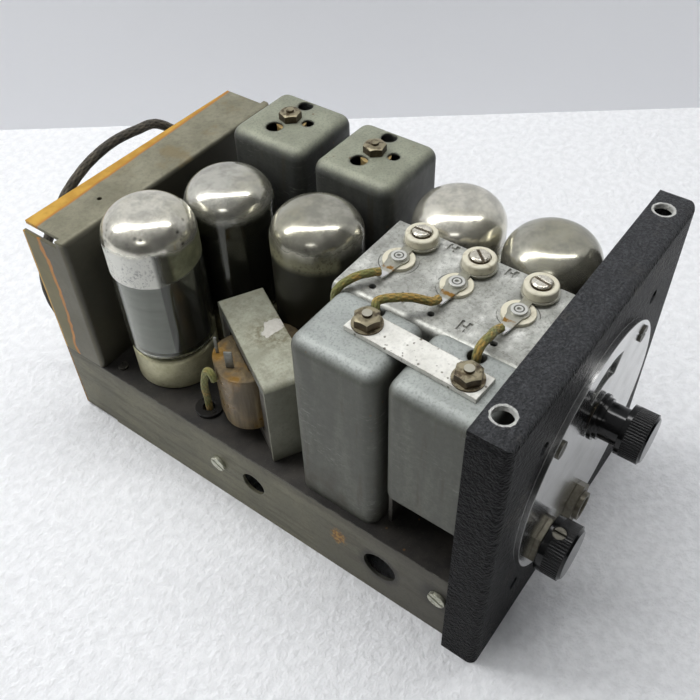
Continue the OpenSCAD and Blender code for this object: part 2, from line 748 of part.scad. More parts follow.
// Nuts of the square cans
module if_nuts() color("#8a6f3f") in_frame() for (y = [if1_y, if2_y])
    translate([if_x + if_stud[0], y + if_stud[1], 0]) stud_nut(deck_h + if_h, deck_h + if_h - can_t, 12);

// Coil can from z0 up over stud place st, with its lead hole
module coil_can(x, y, z0, st) color("#8b9296") in_frame() difference() {
    translate([x, y, z0]) can_shell(can_w, can_d, can_top - z0, can_fillet);
    zcyl(can_stud_r + hole_fit, can_top - 2 * can_fillet, can_top + eps, st[0], st[1]);
    zcyl(lead_hole_r, can_top - 2 * can_fillet, can_top + eps, x + lead_hole_x, y);
}

// Formers of the coil cans
module coil_formers() color("#a88f63") in_frame() {
    translate([can_a_x, can_a_y, 0]) former(deck_h, can_top, [0.22, 0.45]);
    translate([can_x, can_b_y, 0]) former(can_b_z, can_top, [0.3]);
}

// Bracket that carries the front coil can above the volume control
module can_bracket() color("#84847a") in_frame() difference() {
    y0 = can_b_y - can_d / 2;
    y1 = can_b_y + can_d / 2;
    block([can_x - can_w / 2 + bracket_in, y0 + bracket_in, deck_h], [can_x + can_w / 2, y1, can_b_z]);
    block([can_x - can_w, y0 - eps, deck_h - eps], [can_x + can_w, y1 - sheet_t, can_b_z - sheet_t]);
}

// Strap over the two coil cans, through both studs
module can_strap() color("#c9c7bb") in_frame() {
    run = can_studs[1] - can_studs[0];
    turn = -atan2(run[0], run[1]);
    translate([0, 0, can_top]) linear_extrude(strap_t) difference() {
        translate(can_studs[0]) rotate(turn) translate([-strap_w / 2, -strap_ends[0]])
            square([strap_w, norm(run) + strap_ends[0] + strap_ends[1]]);
        for (p = can_studs) translate(p) circle(can_stud_r + hole_fit);
    }
}

// Nuts of the coil cans on their washers
module can_nuts() color("#8a744a") in_frame() for (i = [0, 1])
    translate([can_studs[i][0], can_studs[i][1], 0]) {
    zcyl(can_nut_af / 2 + 0.9, can_top + strap_t, can_top + strap_t + 0.5, 0, 0);
    stud_nut(can_top + strap_t + 0.5, can_top - can_t, 20 + 14 * i);
}

// Frame of the tuning capacitor: top plate with a folded edge, end plates and partitions
module gang_frame() color("#a3a49d") in_frame() {
    x1 = gang_x + gang_w;
    t0 = gang_top - gang_t - eps;
    t1 = gang_top + eps;
    difference() {
        intersection() {
            union() {
                block([gang_x, gang_y, gang_top - gang_t], [x1, gang_y + gang_l, gang_top]);
                block([gang_x, gang_y, gang_top - fold_h], [gang_x + gang_t, gang_y + gang_l, gang_top]);
                block([gang_x, gang_y, gang_top - gang_bend],
                    [gang_x + gang_bend, gang_y + gang_l, gang_top]);
                for (i = [0:3])
                    block([gang_x, gang_y + gang_step * i, i % 3 == 0 ? deck_h : shaft_z - rotor_r],
                    [x1, gang_y + gang_step * i + gang_t, gang_top]);
            }
            translate([0, gang_y + gang_l, 0]) rotate([90, 0, 0]) linear_extrude(gang_l) gang_outline(x1);
        }
        for (i = [0:3]) ycyl(shaft_r + (i % 3 == 0 ? run_fit : turn_gap), gang_y + gang_step * i - eps,
            gang_y + gang_step * i + gang_t + eps, shaft_x, shaft_z);
        for (y = section_y) {
            zcyl(stem_r + 1.2, t0, t1, shaft_x + stem_in, y);
            zcyl(trim_shank_r + turn_gap, t0, t1, shaft_x + trim_in, y - trim_back);
            zcyl(wire_hole_r, t0, t1, shaft_x - 14.2, y);
        }
        for (i = [1, 2], s = tab_slots) tab_slot(s, gang_y + gang_step * i, t1);
    }
}

// Frame seen from the front, with its folded corner
module gang_outline(x1) {
    translate([gang_x + gang_bend, deck_h]) square([gang_w - gang_bend, gang_h]);
    translate([gang_x, deck_h]) square([gang_w, gang_h - gang_bend]);
    translate([gang_x + gang_bend, gang_top - gang_bend]) circle(gang_bend);
}

// Sunk slot round a staked tab with two teeth
module tab_slot(s, y, t1) {
    z = gang_top - tab_depth;
    mid = (s[0] + s[1]) / 2;
    block([s[0], y - 1.2, z], [s[1], y, t1]);
    block([s[0], y + gang_t, z], [s[1], y + gang_t + 0.8, t1]);
    block([mid - 0.4, y - eps, z], [mid + 0.4, y + gang_t + eps, t1]);
}

// Half disc above the shaft, as an upright sheet centred at depth y
module half_plate(r, r_in, low, right, y) {
    translate([shaft_x, y + plate_t / 2, shaft_z]) rotate([90, 0, 0]) linear_extrude(plate_t) difference() {
        intersection() {
            circle(r);
            translate([-r, low]) square([r + right, r]);
        }
        circle(r_in);
    }
}

// Fixed plates of the three sections with their stems
module gang_stators() color("#b4b5ae") in_frame() for (y = section_y) {
    difference() {
        union() {
            for (k = [0:rotor_n - 2]) half_plate(stator_r, stator_in, turn_gap, gang_w - shaft_in - 0.6,
                y - rotor_span / 2 + plate_t / 2 + plate_step * (k + 0.5));
            block([shaft_x + stem_in - 2, y - rotor_span / 2, bar_z],
                [shaft_x + stem_in + 2, y + rotor_span / 2, bar_z + bar_h]);
            zcyl(stem_r, bar_z + bar_h - eps, lug_z + 0.2, shaft_x + stem_in, y);
            zcyl(stem_r + 0.9, lug_z, lug_z + 0.7, shaft_x + stem_in, y);
        }
        zcyl(0.6, lug_z, lug_z + 1, shaft_x + stem_in, y);
    }
}

// Ceramic washers of the stems, above and below the top plate
module stator_insulators() color("#dcd6bf") in_frame()
    for (y = section_y, z = [gang_top, gang_top - gang_t - washer_h])
    translate([shaft_x + stem_in, y, z]) difference() {
        cylinder(r = washer_r, h = washer_h);
        translate([0, 0, -eps]) cylinder(r = stem_r + hole_fit, h = washer_h + 2 * eps);
    }

// Solder lugs on the stems, each with an arm and a ring under its trimmer
module stator_lugs() color("#a79f84") in_frame() for (y = section_y)
    translate([shaft_x, y, gang_top + washer_h]) linear_extrude(lug_t) difference() {
        union() {
            translate([stem_in, 0]) circle(3);
            translate([stem_in, -1.5]) square([trim_in - stem_in, 3]);
            translate([trim_in, -trim_back]) circle(arm_r);
            polygon([[stem_in, -2.6], [stem_in, 2.6], [lug_tip + 1.4, 1.3], [lug_tip, 0.9],
                [lug_tip, -0.9], [lug_tip + 1.4, -1.3]]);
        }
        translate([stem_in, 0]) circle(stem_r + hole_fit);
        translate([trim_in, -trim_back]) circle(trim_neck_r + hole_fit);
    }

// Ceramic bodies of the three trimmers, waisted where the lug's ring sits
module trimmer_bodies() color("#d8d2b8") in_frame() for (y = section_y)
    translate([shaft_x + trim_in, y - trim_back, gang_top]) difference() {
        rotate_extrude() {
            square([trim_base_r, washer_h]);
            square([trim_neck_r, washer_h + lug_t + eps]);
            translate([0, washer_h + lug_t]) square([trim_r, trim_h - trim_edge]);
            translate([0, washer_h + lug_t]) square([trim_r - trim_edge, trim_h]);
            translate([trim_r - trim_edge, trim_z - gang_top - trim_edge]) circle(trim_edge);
        }
        translate([0, 0, -eps]) cylinder(r = trim_shank_r + run_fit, h = trim_z - gang_top + 2 * eps);
        translate([0, 0, trim_z - gang_top - trim_sink])
            cylinder(r = trim_screw_r + turn_gap, h = trim_sink + eps);
    }

// Slotted screw of trimmer i, its head sunk in the ceramic
module trimmer_screw(i) color("#b9ab86") in_frame()
    translate([shaft_x + trim_in, section_y[i] - trim_back, trim_z - trim_sink + turn_gap]) {
        low = trim_z - trim_sink + turn_gap - shank_end;
        difference() {
            union() {
                cylinder(r = trim_screw_r, h = trim_head_h - 0.4);
                translate([0, 0, trim_head_h - 0.4])
                    cylinder(r1 = trim_screw_r, r2 = trim_screw_r - 0.5, h = 0.4);
                translate([0, 0, -low]) cylinder(r = trim_shank_r, h = low + eps);
            }
            rotate(trim_turns[i]) translate([0, 0, trim_head_h])
                cube([4 * trim_screw_r, 0.9, 1.4], center = true);
        }
    }

// Moving plates on their sleeves
module gang_rotor() color("#b2b3ac") in_frame() for (y = section_y) difference() {
    union() {
        for (k = [0:rotor_n - 1]) half_plate(rotor_r, shaft_r, -hub_sleeve_r + 1, rotor_r,
            y - rotor_span / 2 + plate_t / 2 + plate_step * k);
        ycyl(hub_sleeve_r, y - rotor_span / 2, y + rotor_span / 2, shaft_x, shaft_z);
    }
    ycyl(shaft_r, y - rotor_span, y + rotor_span, shaft_x, shaft_z);
}

// Tuning shaft from the rear bearing to the knob
module tuning_shaft() color("#9a8a5c") in_frame()
    ycyl(shaft_r, knob_end + 2, gang_y + gang_l + 1.5, shaft_x, shaft_z);

// Dial disc behind the panel
module dial_disc() color("#151515") in_frame() difference() {
    union() {
        ycyl(dial_r, dial_y, dial_y + dial_t, shaft_x, shaft_z);
        ycyl(shaft_r + 2.4, dial_y, dial_y + 4, shaft_x, shaft_z);
    }
    ycyl(shaft_r, dial_y - eps, dial_y + 5, shaft_x, shaft_z);
}

// Fluted round, from y0 forward
module fluted(r, h) {
    linear_extrude(h) difference() {
        circle(r);
        for (k = [0:flute_n - 1]) rotate(360 * k / flute_n)
            translate([r + flute_d / 3, 0]) circle(flute_d, $fn = 16);
    }
}

// Tuning knob: collar, hub and fluted head
module tuning_knob() color("#121212") in_frame()
    translate([shaft_x, knob_back, shaft_z]) rotate([90, 0, 0]) difference() {
    union() {
        cylinder(r = collar_r, h = collar_h / 2);
        translate([0, 0, collar_h / 2]) cylinder(r = collar_r - 0.7, h = collar_h / 2);
        cylinder(r = hub_r, h = collar_h + hub_h + eps);
        translate([0, 0, collar_h + hub_h]) cylinder(r = knob_r, h = 1.4);
        translate([0, 0, collar_h + hub_h + 1.4]) fluted(knob_r, knob_h - 2);
        translate([0, 0, collar_h + hub_h + knob_h - 0.6])
            cylinder(r1 = knob_r - flute_d, r2 = knob_r - flute_d - 0.6, h = 0.6);
    }
    translate([0, 0, -eps]) cylinder(r = shaft_r, h = collar_h + hub_h + knob_h - 2 + eps);
    rotate(set_turn) translate([0, 0, collar_h + hub_h / 2])
        rotate([0, 90, 0]) cylinder(r = set_r, h = 2 * knob_r);
}

// Setscrew of a knob: slotted pin of radius sr from the shaft to radius r
module setscrew(r, sr) {
    difference() {
        translate([0, 0, shaft_r]) cylinder(r = sr - run_fit, h = r - shaft_r);
        translate([0, 0, r]) cube([4 * sr, 0.6, 1.2], center = true);
    }
}

// Setscrew in the tuning knob's hub
module tuning_setscrew() color("#a98c4c") in_frame()
    translate([shaft_x, knob_back, shaft_z]) rotate([90, 0, 0])
    rotate(set_turn) translate([0, 0, collar_h + hub_h / 2]) rotate([0, 90, 0]) setscrew(hub_r - 0.4, set_r);

// Bracket over the transformer core: strip with two bends
module transformer_frame() color("#a9ad9c") in_frame() translate([tr_x, tr_y, deck_h]) rotate(-tr_turn)
    translate([-tr_w / 2, 0, 0]) rotate([90, 0, 90]) linear_extrude(tr_w) difference() {
        union() {
            translate([-tr_l / 2, 0]) square([tr_l, tr_h - tr_bend]);
            translate([-tr_l / 2 + tr_bend, 0]) square([tr_l - 2 * tr_bend, tr_h]);
            for (s = [-1, 1]) translate([s * (tr_l / 2 - tr_bend), tr_h - tr_bend]) circle(tr_bend);
        }
        translate([-tr_l / 2 + tr_t, -eps]) square([tr_l - 2 * tr_t, tr_h - tr_t + eps]);
    }

// Laminated core with two windows, and the two solder tags that stand on the coil
module transformer_core() color("#56564e") in_frame() translate([tr_x, tr_y, deck_h]) rotate(-tr_turn) {
    l = tr_l - 2 * tr_t;
    difference() {
        translate([-core_w / 2, -l / 2, 0]) cube([core_w, l, tr_h - tr_t]);
        for (s = [0, 1]) translate([-core_w, s == 0 ? -l / 2 + core_side : leg_w / 2, yoke_h])
            cube([2 * core_w, l / 2 - core_side - leg_w / 2, coil_h + core_fit]);
    }
    for (g = tags) translate([g[0], g[1], yoke_h + coil_h + tag_up / 2]) rotate(60)
        cube([0.5, g[2], tag_up], center = true);
}

// Paper-wrapped coil round the core's middle leg
module transformer_coil() color("#8a6337") in_frame()
    translate([tr_x, tr_y, deck_h + yoke_h]) rotate(-tr_turn)
    linear_extrude(coil_h) difference() {
        translate([coil_off, 0]) round_rect(coil_w, coil_l, coil_r);
        square([core_w + 2 * hole_fit, leg_w + 2 * hole_fit], center = true);
    }

// Place beside the transformer: p across the bracket, a along it, z above the deck
function coil_pt(p, a, z) = [tr_x + p * cos(tr_turn) + a * sin(tr_turn),
    tr_y - p * sin(tr_turn) + a * cos(tr_turn), deck_h + z];

// Lead from the coil's side to the deck grommet and through it
module transformer_leads() color("#a8924a") in_frame() {
    out = coil_off - coil_w / 2 - lead_d / 2 - 0.1;
    tube(smooth([coil_pt(out, -1.4, yoke_h + coil_h - 4), coil_pt(out - 0.4, -0.6, yoke_h + coil_h - 1.6),
        coil_pt(out - 1.4, 1.6, yoke_h + coil_h - 2.4), coil_pt(out - 2.4, 4.2, yoke_h + coil_h / 2),
        [grommet_x, grommet_y, deck_h + 6], [grommet_x, grommet_y, deck_h + 1],
        [grommet_x, grommet_y, under_z - 3]], 2), lead_d);
}

// Volume control behind the panel, with its threaded bush
module volume_control() color("#6d5f49") in_frame() difference() {
    union() {
        ycyl(pot_r, panel_t, panel_t + pot_d, vol_x, vol_z);
        ycyl(bush_r, -esc_t - nut_h, panel_t + eps, vol_x, vol_z);
        block([vol_x - 6.5, panel_t + pot_d - 3, vol_z - pot_r - 5],
            [vol_x + 6.5, panel_t + pot_d - 1.6, vol_z - pot_r + 2]);
    }
    ycyl(shaft_r + run_fit, -esc_t - nut_h - eps, panel_t + pot_d - 2, vol_x, vol_z);
}

// Hex nut of the volume control
module volume_nut() color("#a5946c") in_frame()
    translate([vol_x, -esc_t, vol_z]) rotate([90, 0, 0]) difference() {
    rotate(10) hex(2 * bush_r + 3.4, nut_h);
    translate([0, 0, -eps]) cylinder(r = bush_r + hole_fit, h = nut_h + 2 * eps);
}

// Volume shaft
module volume_shaft() color("#9a8a5c") in_frame()
    ycyl(shaft_r, vol_end + 2, panel_t + pot_d - 2.4, vol_x, vol_z);

// Volume knob: smooth skirt, then flutes
module volume_knob() color("#131313") in_frame()
    translate([vol_x, vol_back, vol_z]) rotate([90, 0, 0]) difference() {
    union() {
        cylinder(r = vol_knob_r, h = vol_skirt);
        translate([0, 0, vol_skirt]) fluted(vol_knob_r, vol_knob_h - vol_skirt - 0.8);
        translate([0, 0, vol_knob_h - 0.8])
            cylinder(r1 = vol_knob_r - flute_d, r2 = vol_knob_r - flute_d - 0.8, h = 0.8);
    }
    translate([0, 0, -eps]) cylinder(r = shaft_r, h = vol_knob_h - 2 + eps);
    rotate(vol_set_turn) translate([0, 0, vol_set_in])
        rotate([0, 90, 0]) cylinder(r = vol_set_r, h = 2 * vol_knob_r);
}

// Setscrew in the volume knob
module volume_setscrew() color("#b0934e") in_frame() translate([vol_x, vol_back, vol_z]) rotate([90, 0, 0])
    rotate(vol_set_turn) translate([0, 0, vol_set_in])
        rotate([0, 90, 0]) setscrew(vol_knob_r - 0.3, vol_set_r);

// Phone jack: threaded bush, frame and two leaf springs
module phone_jack() color("#a88d52") in_frame() {
    y1 = panel_t + sheet_t;
    low = jack_z - 2 * jack_bush_r;
    difference() {
        union() {
            ycyl(jack_bush_r, -jack_reach, y1 + eps, shaft_x, jack_z);
            block([shaft_x - jack_bush_r, y1, low],
                [shaft_x + jack_bush_r, y1 + leaf_t, jack_z + jack_down - 0.3]);
            block([shaft_x - leaf_w / 2, y1, low], [shaft_x + leaf_w / 2, y1 + leaf_l - 4, low + leaf_t]);
            block([shaft_x - leaf_w / 2, y1 + 8, low + leaf_t - eps],
                [shaft_x + leaf_w / 2, y1 + 16, low + 3.4]);
            block([shaft_x - leaf_w / 2, y1 + 8, low + 3.4 - eps],
                [shaft_x + leaf_w / 2, y1 + leaf_l, low + 4.1]);
        }
        ycyl(jack_r, -jack_reach - eps, y1 + 2, shaft_x, jack_z);
    }
}

// Hex nut of the phone jack
module phone_jack_nut() color("#ab9152") in_frame()
    translate([shaft_x, -esc_t, jack_z]) rotate([90, 0, 0]) difference() {
    rotate(18) hex(2 * jack_bush_r + 3.2, jack_nut_h);
    translate([0, 0, -eps]) cylinder(r = jack_bush_r + hole_fit, h = jack_nut_h + 2 * eps);
}

// Fabric leads from the lugs to the coil cans
module can_leads() color("#8d7c3f") in_frame() for (i = [0:2]) {
    r = lead_d / 2;
    y = section_y[i];
    x = shaft_x + lug_tip;
    hole = [(i == 0 ? can_x : can_a_x) + lead_hole_x, i == 0 ? can_b_y : can_a_y];
    down = [gang_x - r - 0.9, can_a_y + can_d / 2 + r + 1.3];
    start = [x + 0.6, y, lug_z + r + 0.05];
    route = i == 2 ? [start, [x - 2, y + 1.6, lug_z + r + 0.6], [x - 5.4, y + 4, lug_z + r + 0.4],
            [down[0] + 1, down[1] - 0.8, lug_z - 0.6], [down[0], down[1], lug_z - 5],
            [down[0], down[1], lug_z - 20], [down[0], down[1], deck_h]] :
        [start, [x - 2, y + 0.6, lug_z + r + 0.7], [x - 6, (y + hole[1]) / 2, can_top + r + 0.2],
            [hole[0] + 2.2, hole[1] + 0.2, can_top + r + 0.9], [hole[0], hole[1], can_top + 0.6],
            [hole[0] - 0.3, hole[1], can_top - 4]];
    tube(smooth(route, 2), lead_d);
}

// Skirt screws, deck rivet and grommets
module small_fixings() color("#8f8b7c") in_frame() {
    for (s = skirt_screws) difference() {
        union() {
            xcyl(screw_r, xl, xl + sheet_t + 5, s[0], s[1]);
            xcyl(screw_r + 0.9, xl - 1.1, xl, s[0], s[1]);
        }
        translate([xl - 1.1, s[0], s[1]]) rotate([25, 0, 0]) cube([1.2, 8, 0.8], center = true);
    }
    zcyl(rivet_r, under_z - 0.8, deck_h, rivet_x, rivet_y);
    zcyl(rivet_r + 0.6, deck_h, deck_h + 0.8, rivet_x, rivet_y);
    difference() {
        union() {
            zcyl(grommet_r, under_z - 1, deck_h + 1, grommet_x, grommet_y);
            zcyl(grommet_r + 1.1, deck_h, deck_h + 1.2, grommet_x, grommet_y);
        }
        zcyl(grommet_r - 1.4, under_z - 2, deck_h + 2, grommet_x, grommet_y);
    }
    cord_grommet(cord_hole_a, pan_y + sheet_t);
    cord_grommet(cord_hole_b, rear_y);
}

// Cord grommet in a wall whose rear face is at depth y
module cord_grommet(h, y) {
    difference() {
        union() {
            ycyl(cord_gr_r, y - sheet_t, y, h[0], h[1]);
            ycyl(cord_gr_r + 1.2, y - 2 * sheet_t, y - sheet_t, h[0], h[1]);
        }
        ycyl(cord_d / 2 - 0.3, y - 3 * sheet_t, y + eps, h[0], h[1]);
    }
}

// Tag strips standing under the deck
module tie_strips() color("#6e4d2c") in_frame() for (x = strip_x)
    block([x, strip_y, under_z - strip_h], [x + strip_t, strip_y + strip_l, under_z]);

// Resistors between the first two strips
module resistors() color("#7a5a3a") in_frame() for (k = [0:3]) {
    y = strip_y + 4 + 8 * k;
    xcyl(res_r, strip_x[0] + strip_t + res_lead, strip_x[1] - res_lead, y, under_z - strip_h / 2);
    xcyl(0.4, strip_x[0] + strip_t, strip_x[1], y, under_z - strip_h / 2);
}

// Paper capacitors between the last two strips
module paper_capacitors() color("#b39a62") in_frame() for (k = [0:2]) {
    y = strip_y + 5.5 + 10.5 * k;
    xcyl(cap_r, strip_x[1] + strip_t + res_lead, strip_x[2] - res_lead, y, under_z - strip_h / 2);
    xcyl(0.5, strip_x[1] + strip_t, strip_x[2], y, under_z - strip_h / 2);
}

// Rear cord
module rear_cord() color("#2d2a26") in_frame()
    tube(smooth([for (p = cord_path) [p[0], rear_y + p[1], p[2]]], 2), cord_d);

// Drawing
chassis();
rear_pan();
front_panel();
escutcheon();
escutcheon_screws();
dial_window();
tuning_bushing();
valve_glass(0);  // valve_glass_1
valve_glass(1);  // valve_glass_2
valve_glass(2);  // valve_glass_3
valve_glass(3);  // valve_glass_4
valve_glass(4);  // valve_glass_5
valve_base(0);  // valve_base_1
valve_base(1);  // valve_base_2
valve_base(2);  // valve_base_3
valve_base(3);  // valve_base_4
valve_base(4);  // valve_base_5
valve_electrodes();
valve_sockets();
socket_contacts();
if_can(if1_y);  // if_can_1
if_can(if2_y);  // if_can_2
if_coils();
if_nuts();
coil_can(can_a_x, can_a_y, deck_h, can_studs[1]);  // coil_can_rear
coil_can(can_x, can_b_y, can_b_z, can_studs[0]);  // coil_can_front
coil_formers();
can_bracket();
can_strap();
can_nuts();
gang_frame();
gang_stators();
stator_insulators();
stator_lugs();
trimmer_bodies();
trimmer_screw(0);  // trimmer_screw_1
trimmer_screw(1);  // trimmer_screw_2
trimmer_screw(2);  // trimmer_screw_3
gang_rotor();
tuning_shaft();
dial_disc();
tuning_knob();
tuning_setscrew();
transformer_frame();
transformer_core();
transformer_coil();
transformer_leads();
volume_control();
volume_nut();
volume_shaft();
volume_knob();
volume_setscrew();
phone_jack();
phone_jack_nut();
can_leads();
small_fixings();
tie_strips();
resistors();
paper_capacitors();
rear_cord();
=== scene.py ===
"""Radio receiver on an open chassis: looks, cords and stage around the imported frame."""
import math

import bpy
from mathutils import Matrix, Vector


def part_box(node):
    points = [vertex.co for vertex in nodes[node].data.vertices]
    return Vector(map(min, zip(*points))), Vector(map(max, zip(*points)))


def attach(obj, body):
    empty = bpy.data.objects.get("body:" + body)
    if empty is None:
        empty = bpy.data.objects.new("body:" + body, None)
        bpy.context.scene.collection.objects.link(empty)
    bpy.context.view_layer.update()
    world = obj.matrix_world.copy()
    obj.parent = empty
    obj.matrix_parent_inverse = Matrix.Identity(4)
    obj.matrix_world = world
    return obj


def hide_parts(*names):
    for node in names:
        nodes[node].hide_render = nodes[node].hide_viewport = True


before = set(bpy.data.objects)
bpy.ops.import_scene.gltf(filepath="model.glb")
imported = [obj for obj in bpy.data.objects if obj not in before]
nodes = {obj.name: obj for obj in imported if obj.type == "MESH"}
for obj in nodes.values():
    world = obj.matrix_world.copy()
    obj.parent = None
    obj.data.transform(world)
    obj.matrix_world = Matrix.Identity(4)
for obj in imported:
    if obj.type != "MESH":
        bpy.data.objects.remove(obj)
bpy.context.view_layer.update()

# Places in the source, in its millimetres
MM = 0.001
MID_Y = 75.4115
DECK_TOP = 30.5
SKIRT_X = -47.67
TOP_HOLE_X, TOP_HOLE_Y = 42.9, 6.5
GANG_STEP = 18.47
LUG_X, LUG_Z, LUG_Y = -11.32, 90.2, (23.83, 42.3, 60.77)
CAN_TOP = 92.9
COIL_X, COIL_Y, COIL_TURN = -27.378, 91.412, math.radians(29.3)
GROMMET_X, GROMMET_Y = -39.67, 107.41

# Levels and axes from the frame's boxes, in metres
VALVES = range(1, 6)
DECK_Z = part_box("chassis")[1].z
REAR_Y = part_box("chassis")[1].y
COIL_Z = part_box("transformer_coil")[1].z
AXES = {i: sum(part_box(f"valve_glass_{i}"), Vector()) / 2 for i in VALVES}
BULB_R = 0.014
FILM_WAY = (0.614, -0.789)  # in plan, the way along which the films on the bulbs change

# Colours that several bulbs share
SILVER = (0.82, 0.79, 0.68)
OLIVE = (0.50, 0.485, 0.400)
AMBER_GLASS = (0.40, 0.39, 0.28)


def at(x, y, z):
    """Place in the row's frame from the source's millimetres."""
    return Vector((x, y - MID_Y, z)) * MM


# Node helpers
class Build:
    """Short names for the shader nodes of one material."""

    def __init__(self, name):
        self.mat = bpy.data.materials.new(name)
        self.mat.use_nodes = True
        self.tree = self.mat.node_tree
        self.bsdf = self.tree.nodes["Principled BSDF"]
        self.out = self.tree.nodes["Material Output"]
        self.pos = self.node("ShaderNodeTexCoord").outputs["Object"]
        self.x, self.y, self.z = self.split(self.pos)
        self.colour = None

    def node(self, kind, **props):
        n = self.tree.nodes.new(kind)
        for k, v in props.items():
            setattr(n, k, v)
        return n

    def put(self, socket, value):
        """Links a socket, or gives it a fixed value."""
        if isinstance(value, bpy.types.NodeSocket):
            self.tree.links.new(value, socket)
        elif socket.type == "RGBA":
            socket.default_value = (*value, 1)
        else:
            socket.default_value = value

    def set(self, **values):
        """Inputs of the main shader, with _ for a space."""
        for k, v in values.items():
            self.put(self.bsdf.inputs[k.replace("_", " ")], v)

    def split(self, vec):
        n = self.node("ShaderNodeSeparateXYZ")
        self.put(n.inputs[0], vec)
        return n.outputs

    def normal(self):
        return self.node("ShaderNodeNewGeometry").outputs["Normal"]

    def stretch(self, x, y, z):
        n = self.node("ShaderNodeMapping")
        self.put(n.inputs["Vector"], self.pos)
        n.inputs["Scale"].default_value = (x, y, z)
        return n.outputs["Vector"]

    def dist(self, point, scale=(1, 1, 1)):
        """Distance from a fixed point, with the axes weighted."""
        off = self.node("ShaderNodeVectorMath", operation="SUBTRACT")
        self.put(off.inputs[0], self.pos)
        off.inputs[1].default_value = point
        weigh = self.node("ShaderNodeVectorMath", operation="MULTIPLY")
        self.put(weigh.inputs[0], off.outputs["Vector"])
        weigh.inputs[1].default_value = scale
        length = self.node("ShaderNodeVectorMath", operation="LENGTH")
        self.put(length.inputs[0], weigh.outputs["Vector"])
        return length.outputs["Value"]

    # Numbers
    def math(self, op, a, b=0.0, c=0.0):
        n = self.node("ShaderNodeMath", operation=op)
        for i, v in enumerate((a, b, c)):
            self.put(n.inputs[i], v)
        return n.outputs[0]

    def plus(self, a, b):
        return self.math("ADD", a, b)

    def minus(self, a, b):
        return self.math("SUBTRACT", a, b)

    def size(self, a):
        return self.math("ABSOLUTE", a)

    def fold(self, op, values):
        total = values[0]
        for v in values[1:]:
            total = self.math(op, total, v)
        return total

    def times(self, *values):
        return self.fold("MULTIPLY", values)

    def most(self, *values):
        return self.fold("MAXIMUM", values)

    # Masks
    def band(self, value, lo, hi):
        """0 below lo, 1 above hi, smooth between (or the other way round)."""
        n = self.node("ShaderNodeMapRange", interpolation_type="SMOOTHSTEP")
        flip = lo > hi
        self.put(n.inputs["Value"], value)
        self.put(n.inputs["From Min"], min(lo, hi))
        self.put(n.inputs["From Max"], max(lo, hi))
        self.put(n.inputs["To Min"], 1.0 if flip else 0.0)
        self.put(n.inputs["To Max"], 0.0 if flip else 1.0)
        return n.outputs["Result"]

    def noise(self, scale, detail=4, rough=0.55, vec=None, warp=0):
        n = self.node("ShaderNodeTexNoise")
        self.put(n.inputs["Vector"], vec or self.pos)
        self.put(n.inputs["Scale"], scale)
        self.put(n.inputs["Detail"], detail)
        self.put(n.inputs["Roughness"], rough)
        self.put(n.inputs["Distortion"], warp)
        return n.outputs["Fac"]

    def patches(self, lo, hi, scale, detail=4, rough=0.55, vec=None, warp=0):
        """Noise cut to a mask."""
        return self.band(self.noise(scale, detail, rough, vec, warp), lo, hi)

    def dots(self, scale, outer, inner):
        """Round spots, one to a cell."""
        n = self.node("ShaderNodeTexVoronoi")
        self.put(n.inputs["Vector"], self.pos)
        self.put(n.inputs["Scale"], scale)
        return self.band(n.outputs["Distance"], outer, inner)

    def wavy(self, value, scale, reach):
        """A coordinate shifted by noise, so that a mask gets a ragged border."""
        return self.plus(value, self.times(self.minus(self.noise(scale, 5), 0.5), reach))

    def vary(self, base, amount, scale):
        """A number that noise raises by up to an amount."""
        return self.plus(base, self.times(self.noise(scale), amount))

    # Colour and relief
    def mix(self, fac, a, b):
        n = self.node("ShaderNodeMix", data_type="RGBA")
        self.put(n.inputs["Factor"], fac)
        self.put(n.inputs[6], a)
        self.put(n.inputs[7], b)
        return n.outputs[2]

    def paint(self, under, over, *masks):
        """One colour laid over another where the product of the masks is high."""
        return self.mix(self.times(*masks), under, over)

    def bump(self, height, strength, distance, normal=None):
        n = self.node("ShaderNodeBump")
        self.put(n.inputs["Height"], height)
        self.put(n.inputs["Strength"], strength)
        self.put(n.inputs["Distance"], distance)
        if normal is not None:
            self.put(n.inputs["Normal"], normal)
        return n.outputs["Normal"]

    def soft_edge(self, radius):
        n = self.node("ShaderNodeBevel", samples=4)
        self.put(n.inputs["Radius"], radius)
        return n.outputs["Normal"]

    def edge(self, radius):
        """1 along sharp edges, 0 on flat faces."""
        n = self.node("ShaderNodeVectorMath", operation="DOT_PRODUCT")
        self.put(n.inputs[0], self.soft_edge(radius))
        self.put(n.inputs[1], self.normal())
        return self.band(n.outputs["Value"], 0.98, 0.8)

    def blend(self, fac, first, second):
        """Mixes two shaders into the material's surface."""
        n = self.node("ShaderNodeMixShader")
        self.put(n.inputs["Fac"], fac)
        self.put(n.inputs[1], first.outputs[0])
        self.put(n.inputs[2], second.outputs[0])
        self.put(self.out.inputs["Surface"], n.outputs[0])


def shade(colour, k):
    return tuple(c * k for c in colour)


def assign(build, *names):
    for name in names:
        materials = nodes[name].data.materials
        materials.clear()
        materials.append(build.mat)


